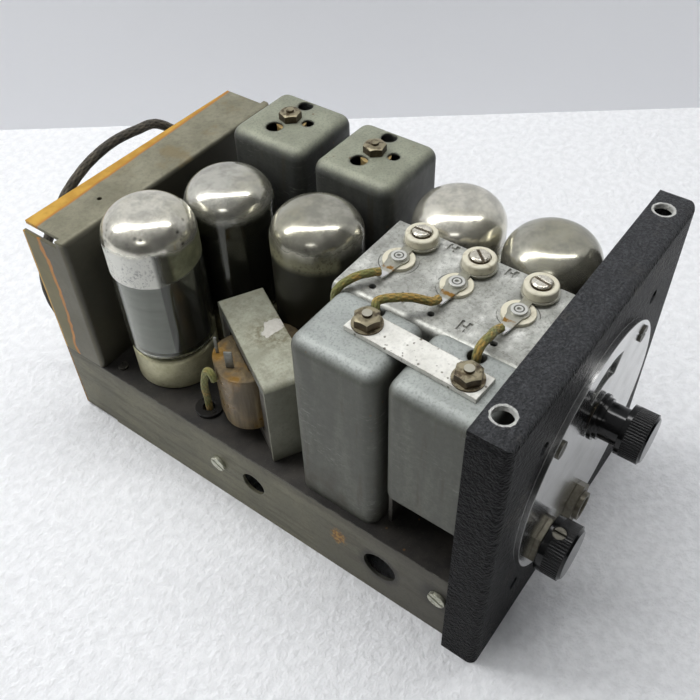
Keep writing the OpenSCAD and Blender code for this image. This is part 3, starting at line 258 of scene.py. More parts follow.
def dull_metal(name, low, high, rough, metal, speck=(0.12, 0.07, 0.03), speck_amount=0.0,
               edge_col=None, blotch=90, grain=900, bump=0.15, bevel=0.0004):
    """Aged sheet or plated metal: blotches, grain, rust specks and worn edges."""
    b = Build(name)
    col = b.mix(b.patches(0.32, 0.68, blotch, 6, 0.6), low, high)
    fine = b.noise(grain, 3, 0.6)
    col = b.paint(col, shade(low, 0.6), b.band(fine, 0.45, 0.75), 0.35)
    if speck_amount:
        where = b.patches(0.6 - speck_amount, 0.75, 70, 3)
        col = b.paint(col, speck, b.dots(420, 0.16, 0.05), where)
    if edge_col:
        col = b.paint(col, edge_col, b.edge(bevel * 1.6), b.patches(0.35, 0.6, 260))
    b.colour = col
    b.set(Base_Color=col, Metallic=metal, Roughness=b.vary(rough - 0.1, 0.22, blotch * 2))
    b.set(Normal=b.bump(fine, bump, 0.0002, b.soft_edge(bevel)))
    return b


def plastic(name, colour, rough):
    b = Build(name)
    fine = b.noise(700)
    pale = tuple(c * 1.8 + 0.004 for c in colour)
    b.set(Base_Color=b.mix(b.patches(0.4, 0.7, 120, 5), colour, pale))
    b.set(Roughness=b.plus(rough, b.times(fine, 0.12)))
    b.set(Normal=b.bump(fine, 0.06, 0.0001, b.soft_edge(0.0003)))
    return b


# Sheet metal
def chassis_steel():
    """Dark deck, olive skirts with streaks, rust, and dark rings round two spots."""
    b = Build("chassis_steel")
    deck = b.mix(b.patches(0.35, 0.7, 110, 6), (0.013, 0.0115, 0.010), (0.040, 0.035, 0.029))
    skirt = b.mix(b.patches(0.32, 0.68, 70, 6, 0.6),
                  (0.125, 0.119, 0.077), (0.190, 0.182, 0.122))
    to_front = b.band(b.y, 0.0, -0.060)
    skirt = b.paint(skirt, (0.092, 0.086, 0.066), to_front)
    streaks = b.patches(0.46, 0.66, 1, 6, 0.7, vec=b.stretch(110, 45, 330))
    skirt = b.paint(skirt, (0.062, 0.054, 0.036), streaks, 0.55)
    upper = b.band(b.wavy(b.z, 260, 0.006), DECK_Z - 0.005, DECK_Z - 0.001)
    skirt = b.paint(skirt, (0.055, 0.047, 0.033), upper, 0.5)
    col = b.mix(b.band(b.z, DECK_Z - 0.0006, DECK_Z - 0.0001), skirt, deck)
    fine = b.noise(900, 3, 0.6)
    col = b.paint(col, (0.035, 0.033, 0.027), b.band(fine, 0.45, 0.75), 0.3)
    col = b.paint(col, (0.24, 0.23, 0.19), b.edge(0.0006), b.patches(0.38, 0.6, 200), 0.7)
    blob = b.wavy(b.dist(at(SKIRT_X, 50.2, 18.1), (1, 1, 0.8)), 620, 0.0055)
    at_rear = b.band(b.wavy(b.y, 120, 0.002), 0.0908, 0.0916)
    run = b.times(at_rear, b.band(b.x, -0.0465, -0.0474))
    spots = b.times(b.dots(260, 0.14, 0.05), b.patches(0.58, 0.68, 45, 3))
    rust = b.mix(b.patches(0.4, 0.6, 900), (0.36, 0.20, 0.040), (0.16, 0.075, 0.018))
    col = b.paint(col, rust,
                  b.most(b.band(blob, 0.0033, 0.0018), b.times(run, 0.8), b.times(spots, 0.6)))
    # Dark rings round the large hole and round a second spot on the left skirt.
    dark_rings = [b.band(b.wavy(b.dist(at(SKIRT_X, y, z)), 300, 0.004), 0.0085, black_to)
            for y, z, black_to in ((35.1, 15.3, 0.0055), (15.0, 19.0, 0.0025))]
    col = b.paint(col, (0.020, 0.019, 0.017), b.most(*dark_rings), 0.75)
    col = b.paint(col, (0.20, 0.19, 0.16), b.patches(0.60, 0.70, 1900, 4, 0.75), 0.3)
    b.set(Base_Color=col, Metallic=0.25, Roughness=b.vary(0.42, 0.2, 140))
    b.set(Normal=b.bump(fine, 0.25, 0.0002, b.soft_edge(0.0004)))
    return b


def pan_steel():
    """Olive sheet with varnish at its rear edges and painted shade on its front-facing faces."""
    b = Build("pan_steel")
    lo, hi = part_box("rear_pan")
    col = b.mix(b.patches(0.35, 0.68, 70, 6, 0.6), (0.205, 0.194, 0.132), (0.290, 0.276, 0.196))
    # Front-facing faces are painted near black: painted shade.
    front_shade = b.band(b.split(b.normal())[1], -0.4, -0.9)
    col = b.paint(col, (0.030, 0.028, 0.022), front_shade, 0.75)
    col = b.paint(col, (0.100, 0.093, 0.062), b.patches(0.42, 0.64, 600, 8, 0.78), 0.35)
    scratch = b.patches(0.62, 0.70, 1, 3, 0.5, vec=b.stretch(160, 900, 160))
    col = b.paint(col, (0.075, 0.068, 0.048), scratch, b.patches(0.5, 0.62, 40, 3), 0.5)
    on_top = b.band(b.z, hi.z - 0.0016, hi.z - 0.0008)
    on_left = b.band(b.x, lo.x + 0.0008, lo.x + 0.0002)
    col = b.paint(col, (0.085, 0.072, 0.032), on_left, 0.40)
    col = b.mix(on_top, b.mix(0.40, col, (0.03, 0.028, 0.02)), col)

    drift = b.wavy(b.wavy(b.y, 45, 0.009), 230, 0.0022)
    film = b.mix(b.noise(140), (0.110, 0.100, 0.038), (0.225, 0.180, 0.045))
    col = b.paint(col, film, on_left, b.band(drift, hi.y - 0.0082, hi.y - 0.0070), 0.7)
    col = b.paint(col, (0.215, 0.150, 0.055),
                  on_top, b.patches(0.52, 0.66, 85, 5), b.band(b.x, -0.030, 0.015), 0.5)
    width = b.math("MULTIPLY_ADD", b.x, -0.050, 0.0029)
    inside = b.plus(b.minus(b.wavy(b.y, 70, 0.0016), hi.y), width)
    gold = b.times(on_top, b.band(inside, -0.0002, 0.0002))
    rear_line = b.band(b.wavy(b.y, 200, 0.0008), hi.y - 0.0010, hi.y - 0.0006)
    amber = b.mix(b.patches(0.35, 0.65, 160, 5), (0.47, 0.25, 0.025), (0.62, 0.36, 0.050))
    col = b.paint(col, amber, b.most(gold, b.times(on_left, rear_line, 0.8)))
    border = b.times(on_top, b.band(b.size(inside), 0.0007, 0.0002))
    line = b.times(on_left, b.band(b.size(b.minus(drift, hi.y - 0.0080)), 0.0011, 0.0005))
    brown = b.mix(b.noise(300, 3), (0.36, 0.13, 0.012), (0.55, 0.23, 0.025))
    col = b.paint(col, brown, b.most(b.times(border, 0.8), line))
    b.set(Base_Color=col, Metallic=0.3, Roughness=b.vary(0.36, 0.2, 60))
    b.set(Normal=b.bump(b.noise(900, 3), 0.12, 0.0002, b.soft_edge(0.0005)))
    return b


def wrinkle_black():
    """Wrinkle enamel with ridge tops painted lighter as a painted highlight, dusty on top and bare
    round the top holes.
    """
    b = Build("wrinkle_black")
    dust = b.band(b.split(b.normal())[2], 0.3, 0.9)
    coarse, close = b.noise(820, 3, 0.5, warp=0.9), b.noise(1500, 3, 0.6, warp=0.5)
    ridges = b.math("MULTIPLY_ADD", dust, b.minus(close, coarse), coarse)
    # Ridge tops are painted lighter everywhere, a painted highlight; up-facing faces are paler
    # with dust.
    high = b.band(ridges, 0.40, 0.68)
    tone = b.mix(high, (0.006, 0.006, 0.0064), (0.016, 0.016, 0.0165))
    tone = b.paint(tone, b.mix(high, (0.022, 0.023, 0.025), (0.070, 0.073, 0.078)), dust)
    tone = b.paint(tone, (0.070, 0.060, 0.045),
                   b.patches(0.56, 0.66, 60, 5), b.band(ridges, 0.45, 0.60), 0.5)
    tone = b.paint(tone, (0.12, 0.09, 0.055),
                   b.dots(150, 0.11, 0.04), b.patches(0.56, 0.64, 55, 3))
    top_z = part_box("front_panel")[1].z
    from_holes = [b.dist(at(s * TOP_HOLE_X, TOP_HOLE_Y, 0), (1, 1, 0)) for s in (-1, 1)]
    rims = [b.band(b.wavy(d, 900, 0.0008), 0.0033, 0.0031) for d in from_holes]
    bare = b.times(b.most(*rims), b.band(b.z, top_z - 0.004, top_z - 0.003))
    b.set(Base_Color=b.paint(tone, (0.74, 0.74, 0.70), bare), Metallic=b.times(bare, 0.4))
    b.set(Roughness=0.42, Specular_IOR_Level=b.plus(0.07, b.times(dust, 0.33)))
    b.set(Normal=b.bump(ridges, 1.0, 0.0014, b.soft_edge(0.0006)))
    return b


def brushed_plate():
    """Bare plate with a painted highlight along its edge."""
    b = Build("brushed_plate")
    lines = b.noise(1, 3, 0.5, vec=b.stretch(40, 40, 1500))
    # A pale, less metallic line along the edges: a painted highlight.
    rim_highlight = b.edge(0.0005)
    face = b.mix(b.patches(0.45, 0.75, 80, 5), (0.62, 0.62, 0.61), (0.44, 0.44, 0.43))
    b.set(Base_Color=b.paint(face, (0.92, 0.92, 0.90), rim_highlight))
    b.set(Metallic=b.minus(1.0, b.times(rim_highlight, 0.5)))
    b.set(Roughness=b.plus(0.10, b.times(lines, 0.16)), Normal=b.bump(lines, 0.05, 0.00005))
    return b


def zinc_can(name, side, top):
    """Top painted paler than the sides, as painted light with some dust; streaked and stained
    sides.
    """
    b = Build(name)
    sides = b.mix(b.patches(0.35, 0.7, 1, 5, 0.6, vec=b.stretch(190, 190, 28)),
                  shade(side, 0.8), shade(side, 1.15))
    sides = b.paint(sides, shade(side, 0.62), b.patches(0.38, 0.62, 520, 8, 0.78), 0.55)
    streak = b.patches(0.56, 0.74, 1, 4, 0.6, vec=b.stretch(330, 330, 30))
    sides = b.paint(sides, (0.075, 0.062, 0.038), streak, 0.6)
    scuff = b.patches(0.55, 0.64, 1, 5, 0.75, vec=b.stretch(300, 300, 1100))
    sides = b.paint(sides, (0.27, 0.275, 0.245), scuff, b.patches(0.47, 0.62, 48, 5), 0.55)
    low_down = b.band(b.z, 0.062, 0.034)
    sides = b.paint(sides, (0.070, 0.060, 0.040),
                    low_down, b.patches(0.44, 0.64, 120, 6, 0.65), 0.55)
    # The top gets a far paler colour than the sides: painted light on the top and painted shade on
    # the sides, with some dust on the top.
    lit_dusty_tops = b.mix(b.patches(0.35, 0.7, 130, 5), shade(top, 0.9), shade(top, 1.1))
    upward = b.split(b.soft_edge(0.0016))[2]
    col = b.mix(b.band(b.wavy(upward, 150, 0.3), 0.30, 0.95), sides, lit_dusty_tops)
    fine = b.noise(1500, 3, 0.6)
    col = b.paint(col, (0.090, 0.094, 0.088), b.band(fine, 0.45, 0.70), 0.35)
    col = b.paint(col, (0.16, 0.10, 0.05), b.dots(300, 0.17, 0.07), b.patches(0.54, 0.64, 70, 3))
    b.set(Base_Color=col, Metallic=0.3, Roughness=b.vary(0.42, 0.2, 200))
    b.set(Normal=b.bump(fine, 0.25, 0.0002, b.soft_edge(0.0016)))
    return b


def strap_plate():
    b = dull_metal("strap_plate", (0.66, 0.65, 0.59), (0.82, 0.81, 0.75), 0.5, 0.1,
                   speck=(0.10, 0.08, 0.045), speck_amount=0.24, edge_col=(0.24, 0.21, 0.15),
                   blotch=160, bevel=0.0003)
    flecks = b.times(b.dots(700, 0.33, 0.18), b.patches(0.50, 0.57, 300, 3))
    b.set(Base_Color=b.paint(b.colour, (0.10, 0.085, 0.055), flecks, 0.85))
    return b


def gang_aluminium():
    """Chalky scuffed sheet, ring marks round the washers, rivet heads with a groove."""
    b = dull_metal("gang_aluminium", (0.33, 0.332, 0.300), (0.54, 0.545, 0.500), 0.42, 0.5,
                   speck=(0.10, 0.09, 0.07), speck_amount=0.08, edge_col=(0.62, 0.62, 0.60),
                   blotch=150, grain=800)
    chalk = b.times(b.patches(0.50, 0.70, 75, 6, 0.65, warp=0.6), b.patches(0.32, 0.62, 500))
    col = b.paint(b.colour, (0.80, 0.80, 0.75), chalk)
    col = b.paint(col, (0.17, 0.17, 0.145), b.patches(0.48, 0.62, 1000, 6, 0.78), 0.55)
    lines = b.patches(0.64, 0.70, 1, 2, 0.5, vec=b.stretch(1500, 110, 1500))
    col = b.paint(col, (0.16, 0.15, 0.12), lines, b.patches(0.45, 0.6, 50, 3), 0.6)
    lo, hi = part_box("stator_insulators")
    mid, ring_r, groove_r = (lo + hi) / 2, (hi.x - lo.x) * 0.61, 0.00125
    grooves = []
    for step in (-1, 0, 1):
        from_stem = b.dist((mid.x, mid.y + step * GANG_STEP * MM, hi.z), (1, 1, 0))
        ring = b.size(b.wavy(b.minus(from_stem, ring_r), 300, 0.0003))
        col = b.paint(col, (0.07, 0.07, 0.06),
                      b.band(ring, 0.00022, 0.0001), b.patches(0.46, 0.54, 170, 3), 0.8)
        grooves.append(b.band(b.size(b.minus(from_stem, groove_r)), 0.0003, 0.0001))
    rivet_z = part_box("gang_stators")[1].z
    heads = b.band(b.z, rivet_z - 0.0009, rivet_z - 0.0006)
    rivet = b.mix(b.most(*grooves), (0.60, 0.60, 0.56), (0.10, 0.10, 0.085))
    b.set(Base_Color=b.paint(col, rivet, heads))
    scuffs = b.noise(1, 4, 0.6, vec=b.stretch(900, 160, 500))
    b.set(Normal=b.bump(scuffs, 0.25, 0.0003, b.soft_edge(0.0003)))
    return b


assign(chassis_steel(), "chassis")
assign(pan_steel(), "rear_pan")
assign(wrinkle_black(), "front_panel")
assign(brushed_plate(), "escutcheon")
# Each can gets a darker colour for its sides and a paler one for its top: painted shade and
# painted light.
assign(zinc_can("coil_can_zinc", (0.126, 0.129, 0.107), (0.352, 0.374, 0.352)),
       "coil_can_rear", "coil_can_front")
assign(zinc_can("if_can_zinc", (0.090, 0.094, 0.086), (0.290, 0.302, 0.226)),
       "if_can_1", "if_can_2")
assign(strap_plate(), "can_strap")
assign(gang_aluminium(), "gang_frame", "gang_stators", "gang_rotor")


# Transformer
def bracket_paint():
    """Pale paint with painted shade on the vertical faces, and a chipped spot in a dirty patch."""
    b = dull_metal("bracket_paint", (0.270, 0.272, 0.202), (0.395, 0.398, 0.312), 0.55, 0.0,
                   speck=(0.15, 0.12, 0.065), speck_amount=0.24, edge_col=(0.14, 0.125, 0.085),
                   blotch=110)
    torn = b.wavy(b.dist(at(-22.6, 91.3, 63.2), (0.72, 1.25, 0.3)), 320, 0.005)
    crumb = b.noise(700, 5, 0.7)
    col = b.paint(b.colour, (0.185, 0.178, 0.120), b.patches(0.44, 0.64, 420, 8, 0.78), 0.5)
    near = b.band(b.dist(at(-24.5, 90, 63.2), (1, 1, 0.6)), 0.010, 0.004)
    col = b.paint(col, (0.13, 0.11, 0.055), near, b.band(crumb, 0.4, 0.6), 0.7)
    col = b.paint(col, b.mix(crumb, (0.38, 0.36, 0.31), (0.74, 0.72, 0.66)),
                  b.band(torn, 0.0036, 0.0030))
    # Vertical faces are painted darker: painted shade.
    shaded_uprights = b.band(b.split(b.normal())[2], 0.5, 0.1)
    b.set(Base_Color=b.paint(col, (0.085, 0.085, 0.062), shaded_uprights, 0.62))
    relief = b.plus(0.1, b.times(b.band(torn, 0.0040, 0.0034), 0.8))
    b.set(Normal=b.bump(crumb, relief, 0.0006, b.soft_edge(0.0004)))
    return b


def core_iron():
    """Dark iron, with tinned tags above the coil."""
    b = dull_metal("core_iron", (0.07, 0.065, 0.055), (0.16, 0.15, 0.13), 0.45, 0.6, bump=0.3)
    tin = b.mix(b.noise(700), (0.10, 0.10, 0.085), (0.36, 0.37, 0.34))
    tags = b.times(b.band(b.z, COIL_Z, COIL_Z + 0.0004), b.band(b.y, 0.0, 0.004))
    b.set(Base_Color=b.paint(b.colour, tin, tags))
    return b


def kraft_coil():
    """Folded paper, varnished most on its upper end."""
    b = Build("kraft_coil")
    folds = b.noise(1, 4, 0.6, vec=b.stretch(500, 500, 50))
    varnish = b.patches(0.46, 0.62, 120)
    paper = b.mix(b.band(folds, 0.35, 0.7), (0.085, 0.060, 0.026), (0.165, 0.118, 0.052))
    lid = b.band(b.z, COIL_Z - 0.0022, COIL_Z - 0.0006)
    paper = b.paint(paper, (0.23, 0.125, 0.022), varnish, b.plus(0.35, b.times(lid, 0.5)))
    b.set(Base_Color=paper, Roughness=b.minus(0.5, b.times(varnish, 0.25)))
    b.set(Normal=b.bump(b.plus(folds, b.noise(160)), 0.5, 0.0006, b.soft_edge(0.0008)))
    return b


assign(bracket_paint(), "transformer_frame")
assign(core_iron(), "transformer_core", "can_bracket")
assign(kraft_coil(), "transformer_coil")


# Fixings
def fixing_mixed():
    """Plated screws, with a dark rivet and rubber grommets in the same piece."""
    b = dull_metal("fixing_mixed", (0.42, 0.42, 0.32), (0.66, 0.66, 0.56), 0.28, 0.75,
                   speck_amount=0.1, blotch=160)
    from_grommet = b.dist(at(GROMMET_X, GROMMET_Y, DECK_TOP), (1, 1, 0))
    at_rear = b.band(b.y, 0.0690, 0.0700)
    rubber = b.most(b.band(from_grommet, 0.0058, 0.0052), at_rear)
    rivet = b.band(b.z, DECK_Z - 0.0002, DECK_Z)
    col = b.paint(b.colour, (0.085, 0.080, 0.068), rivet)
    b.set(Base_Color=b.paint(col, (0.012, 0.011, 0.010), rubber))
    b.set(Metallic=b.minus(0.7, b.times(rubber, 0.7)))
    return b


def trimmer_steel():
    """Bright heads, with dirt and painted shade in the slots and below."""
    b = dull_metal("trimmer_steel", (0.62, 0.58, 0.48), (0.86, 0.82, 0.71), 0.26, 0.75,
                   speck=(0.14, 0.08, 0.03), speck_amount=0.1, blotch=300)
    head_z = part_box("trimmer_screw_1")[1].z
    # Everything below the top of the head, slots included, is painted dark brown: painted shade
    # with some dirt.
    grime_and_shade = b.band(b.z, head_z - 0.0004, head_z - 0.0006)
    b.set(Base_Color=b.paint(b.colour, (0.070, 0.044, 0.018), grime_and_shade, 0.9))
    return b


def tinned_lug():
    """Tinned tags with a rusty neck and solder at the end."""
    b = dull_metal("tinned_lug", (0.34, 0.335, 0.27), (0.50, 0.49, 0.42), 0.34, 0.7,
                   speck_amount=0.06)
    neck_x = -0.0066
    neck = b.band(b.size(b.minus(b.wavy(b.x, 700, 0.0012), neck_x)), 0.0010, 0.0005)
    col = b.paint(b.colour, (0.30, 0.155, 0.030), neck, b.patches(0.40, 0.55, 330, 3))
    solder = b.band(b.x, -0.0082, -0.0090)
    b.set(Base_Color=b.paint(col, (0.68, 0.68, 0.66), solder))
    return b


def nut_rusty():
    """Brown nuts, worn on their upper faces, with bare stud ends."""
    b = dull_metal("nut_rusty", (0.036, 0.024, 0.012), (0.115, 0.084, 0.045), 0.42, 0.5,
                   speck=(0.07, 0.03, 0.012), speck_amount=0.25, edge_col=(0.36, 0.32, 0.22),
                   blotch=300, bevel=0.00012)
    on_top = b.band(b.split(b.normal())[2], 0.5, 0.9)
    col = b.paint(b.colour, (0.34, 0.30, 0.195), on_top, b.patches(0.35, 0.55, 420), 0.85)
    stud_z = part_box("can_nuts")[1].z
    stud = b.times(b.band(b.z, stud_z - 0.0005, stud_z - 0.0003), on_top)
    b.set(Base_Color=b.paint(col, (0.40, 0.38, 0.31), stud))
    return b


assign(dull_metal("fixing_steel", (0.060, 0.056, 0.042), (0.115, 0.108, 0.084), 0.4, 0.5,
                  speck_amount=0.1), "escutcheon_screws", "volume_setscrew")
assign(fixing_mixed(), "small_fixings")
assign(trimmer_steel(), "trimmer_screw_1", "trimmer_screw_2", "trimmer_screw_3")
assign(tinned_lug(), "stator_lugs")
assign(nut_rusty(), "if_nuts", "can_nuts")
assign(dull_metal("brass_dull", (0.215, 0.180, 0.115), (0.35, 0.305, 0.205), 0.40, 0.75,
                  speck_amount=0.06, blotch=300),
       "tuning_bushing", "socket_contacts", "tuning_shaft", "tuning_setscrew", "volume_shaft")
assign(dull_metal("tarnished_nut", (0.095, 0.086, 0.060), (0.185, 0.170, 0.130), 0.40, 0.5,
                  speck_amount=0.1, blotch=300), "volume_nut", "phone_jack", "phone_jack_nut")


# Knobs, dial, moulded pieces
def knob_black():
    b = plastic("knob_black", (0.0015, 0.0015, 0.0015), 0.07)
    b.set(Specular_IOR_Level=0.30)
    return b


def dial_black():
    """Plain tick marks round the edge of the disc, every fifth one long."""
    b = plastic("dial_black", (0.004, 0.004, 0.004), 0.5)
    lo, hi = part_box("dial_disc")
    mid, radius = (lo + hi) / 2, (hi.x - lo.x) / 2
    reach = b.dist((mid.x, 0, mid.z), (1, 0, 1))
    angle = b.math("ARCTAN2", b.minus(b.x, mid.x), b.minus(b.z, mid.z))
    ticks = []
    for count, inner in ((40, 0.80 * radius), (8, 0.69 * radius)):
        turn = b.times(angle, count / (2 * math.pi))
        off = b.size(b.minus(b.math("FRACT", b.plus(turn, 100.5)), 0.5))
        wide = b.times(off, reach, 2 * math.pi / count)
        ticks.append(b.times(b.band(wide, 0.00042, 0.00030), b.band(reach, inner, inner + 0.0001)))
    mark = b.times(b.most(*ticks), b.band(reach, 0.96 * radius, 0.95 * radius))
    b.set(Base_Color=b.paint((0.006, 0.006, 0.006), (0.80, 0.78, 0.70), mark))
    return b


def dial_pane():
    b = Build("dial_pane")
    b.set(Base_Color=(0.62, 0.63, 0.61), Transmission_Weight=1.0, IOR=1.3)
    b.set(Roughness=b.times(b.noise(300, 3), 0.10))
    return b


def ceramic_cream():
    b = Build("ceramic_cream")
    dirt = b.patches(0.5, 0.75, 420, 5)
    b.set(Base_Color=b.mix(dirt, (0.66, 0.625, 0.49), (0.42, 0.375, 0.26)), Roughness=0.42)
    b.set(Normal=b.bump(b.noise(900, 3), 0.1, 0.0001, b.soft_edge(0.0004)))
    return b


def waxed_paper():
    b = Build("waxed_paper")
    stain = b.patches(0.4, 0.7, 200, 5)
    b.set(Base_Color=b.mix(stain, (0.42, 0.31, 0.13), (0.26, 0.17, 0.06)), Roughness=0.5)
    b.set(Normal=b.bump(b.noise(400), 0.3, 0.0002))
    return b


assign(knob_black(), "tuning_knob", "volume_knob")
assign(dial_black(), "dial_disc")
assign(dial_pane(), "dial_window")
assign(plastic("socket_brown", (0.040, 0.024, 0.014), 0.4),
       "valve_sockets", "volume_control", "tie_strips", "resistors")
assign(ceramic_cream(), "stator_insulators", "trimmer_bodies")
assign(waxed_paper(), "paper_capacitors", "if_coils", "coil_formers")


# Valves
def across(b, axis, unit=1.0):
    """Place along FILM_WAY from a valve's axis."""
    return b.plus(b.times(b.minus(b.x, axis.x), FILM_WAY[0] / unit),
                  b.times(b.minus(b.y, axis.y), FILM_WAY[1] / unit))


def valve_screen():
    """Dark inside the bulbs, but pale on one side of the first."""
    b = Build("valve_screen")
    grey = b.mix(b.noise(1, 4, 0.5, vec=b.stretch(60, 60, 700)),
                 (0.185, 0.192, 0.195), (0.345, 0.355, 0.355))
    in_first = b.band(b.dist(AXES[1], (1, 1, 0)), 0.0150, 0.0145)
    pale_side = b.band(across(b, AXES[1]), 0.0029, 0.0023)
    b.set(Base_Color=b.paint((0.012, 0.011, 0.009), grey, in_first, pale_side))
    b.set(Roughness=0.6, Metallic=0.1, Normal=b.soft_edge(0.0025))
    return b


def bulb(i, dome_z, fade, tint, glass_tint, milk=None, milk_z=0.0, milk_cover=0.0, split=0.0,
         side=None, coat=None, haze_cover=0.0, spots=0.0):
    """Silvery dome over glass that is clear or covered by a dark coat.

    A milky film reaches down to milk_z as far across as split, and a thinner one (side) is beyond.
    """
    b = Build(f"bulb_glass_{i}")
    silver = b.band(b.wavy(b.z, 110, 0.005), dome_z - fade, dome_z + fade)
    clear = b.minus(1.0, silver)
    warm = (tint[0] * 0.72, tint[1] * 0.70, tint[2] * 0.55)
    film = b.paint(tint, warm, b.patches(0.42, 0.66, 45, 5, 0.6), 0.55)
    film = b.paint(film, shade(tint, 0.55), b.patches(0.40, 0.62, 170, 8, 0.75), 0.7)
    lower = b.band(b.z, dome_z + 0.007, dome_z + 0.001)
    film = b.paint(film, shade(tint, 0.22), b.patches(0.46, 0.68, 150, 6, 0.65), lower, 0.9)
    if spots:
        film = b.paint(film, (0.03, 0.03, 0.028), b.dots(480, 0.34, 0.16),
                       b.patches(0.50, 0.60, 95), b.band(b.z, dome_z + 0.008, dome_z + 0.004),
                       spots)
    cover = silver
    if haze_cover:
        haze = b.mix(b.noise(260, 5), (0.20, 0.20, 0.165), (0.50, 0.50, 0.43))
        film = b.mix(silver, haze, film)
        cover = b.most(silver, haze_cover)
    if coat:
        film = b.mix(silver, b.mix(b.noise(70, 5), coat, shade(coat, 1.7)), film)
        cover = b.most(silver, 0.93)
    if milk:
        place = across(b, AXES[i], BULB_R)
        reach = 0.0018 if coat else 0.0003
        veil = b.times(b.band(b.wavy(b.z, 60, reach), milk_z - reach, milk_z + reach),
                       b.band(b.wavy(place, 60, 0.12), split + 0.07, split - 0.07))
        milky = b.paint(b.mix(b.noise(90, 5), milk, shade(milk, 0.75)), shade(milk, 0.35),
                        b.patches(0.51, 0.58, 900, 6, 0.8), b.patches(0.34, 0.56, 150), 0.8)
        film = b.paint(film, milky, veil, clear)
        cover = b.most(cover, b.times(veil, milk_cover))
        if side:
            rise = b.wavy(b.minus(b.z, b.times(place, 0.0018)), 90, 0.0008)
            patch = b.times(b.band(rise, milk_z - 0.0006, milk_z + 0.0006),
                            b.band(place, split + 0.02, split + 0.16))
            film = b.paint(film, b.mix(b.patches(0.35, 0.65, 170, 5), shade(side, 0.55), side),
                           patch, clear)
            seam = b.band(b.wavy(place, 120, 0.25), split + 0.34, split + 0.22)
            film = b.paint(film, (0.040, 0.038, 0.022), patch, seam, clear, 0.85)
            cover = b.most(cover, b.times(patch, 0.85))
    b.set(Base_Color=film, Metallic=b.plus(b.times(silver, 0.76), 0.02))
    dull = b.plus(0.38, b.times(b.noise(160, 6, 0.7), 0.20))
    b.set(Roughness=b.minus(dull, b.times(silver, 0.26)))
    b.set(Coat_Weight=b.plus(0.10, b.times(silver, 0.5)), Coat_Roughness=0.05)
    b.set(Specular_IOR_Level=b.plus(0.2, b.times(silver, 0.3)))
    glass = b.node("ShaderNodeBsdfPrincipled")
    b.put(glass.inputs["Base Color"], glass_tint)
    b.put(glass.inputs["Transmission Weight"], 1.0)
    b.put(glass.inputs["IOR"], 1.45)
    b.put(glass.inputs["Roughness"], b.times(b.noise(200), 0.10))
    b.blend(cover, glass, b.bsdf)
    assign(b, f"valve_glass_{i}")


assign(dull_metal("valve_shell", (0.40, 0.38, 0.235), (0.56, 0.535, 0.36), 0.38, 0.45,
                  speck=(0.12, 0.09, 0.05), speck_amount=0.12, blotch=120, bevel=0.0006),
       *(f"valve_base_{i}" for i in VALVES))
assign(valve_screen(), "valve_electrodes")
bulb(1, 0.0862, 0.0012, SILVER, (0.90, 0.92, 0.84), milk=(1.0, 0.995, 0.92), milk_z=0.0750,
     milk_cover=0.97, split=0.22, side=(0.27, 0.275, 0.165), haze_cover=0.025, spots=0.9)
bulb(2, 0.0838, 0.0026, (0.66, 0.645, 0.565), (0.55, 0.55, 0.42), haze_cover=0.03)
bulb(3, 0.0850, 0.0030, OLIVE, AMBER_GLASS, milk=(0.26, 0.25, 0.155), milk_z=0.0805,
     milk_cover=0.9, split=0.45, coat=(0.013, 0.0125, 0.008))
bulb(4, 0.0800, 0.0040, SILVER, AMBER_GLASS)
bulb(5, 0.0800, 0.0040, OLIVE, AMBER_GLASS)


# Cord and leads as woven sleeves
SPAN_STEPS = 24
RING_STEP = 0.25 * MM
SIDES_PER_STRAND = 6
CORD_D, LEAD_D = 3.6 * MM, 2.4 * MM


def link(obj):
    bpy.context.scene.collection.objects.link(obj)
    return obj


def yarn_fabric(name, dark, mid, pale):
    b = Build(name)
    yarn = b.node("ShaderNodeAttribute", attribute_name="yarn").outputs["Fac"]
    col = b.mix(b.patches(0.44, 0.58, 170, 6, 0.65), mid, pale)
    col = b.paint(col, dark, b.band(yarn, 0.75, 0.25), 0.7)
    fuzz = b.noise(2600, 4, 0.7)
    b.set(Base_Color=b.paint(col, pale, b.band(fuzz, 0.55, 0.75), 0.5))
    b.set(Roughness=0.85, Sheen_Weight=0.15, Normal=b.bump(fuzz, 0.7, 0.0003))
    return b


def smooth_route(points):
    """The same cubic route that the solids follow, in even steps a span."""
    out = []
    for i in range(len(points) - 1):
        a, b = points[max(i - 1, 0)], points[i]
        c, d = points[i + 1], points[min(i + 2, len(points) - 1)]
        for k in range(SPAN_STEPS):
            t = k / SPAN_STEPS
            out.append(0.5 * (2 * b + (c - a) * t + (2 * a - 5 * b + 4 * c - d) * t * t
                              + (3 * b - a - 3 * c + d) * t ** 3))
    return out + [points[-1]]


def even_route(points, step):
    """Points at even steps along a route, with the length along it."""
    out, run, due = [], 0.0, 0.0
    for a, b in zip(points, points[1:]):
        size = (b - a).length
        while due <= run + size:
            out.append((a.lerp(b, (due - run) / size), due))
            due += step
        run += size
    return out


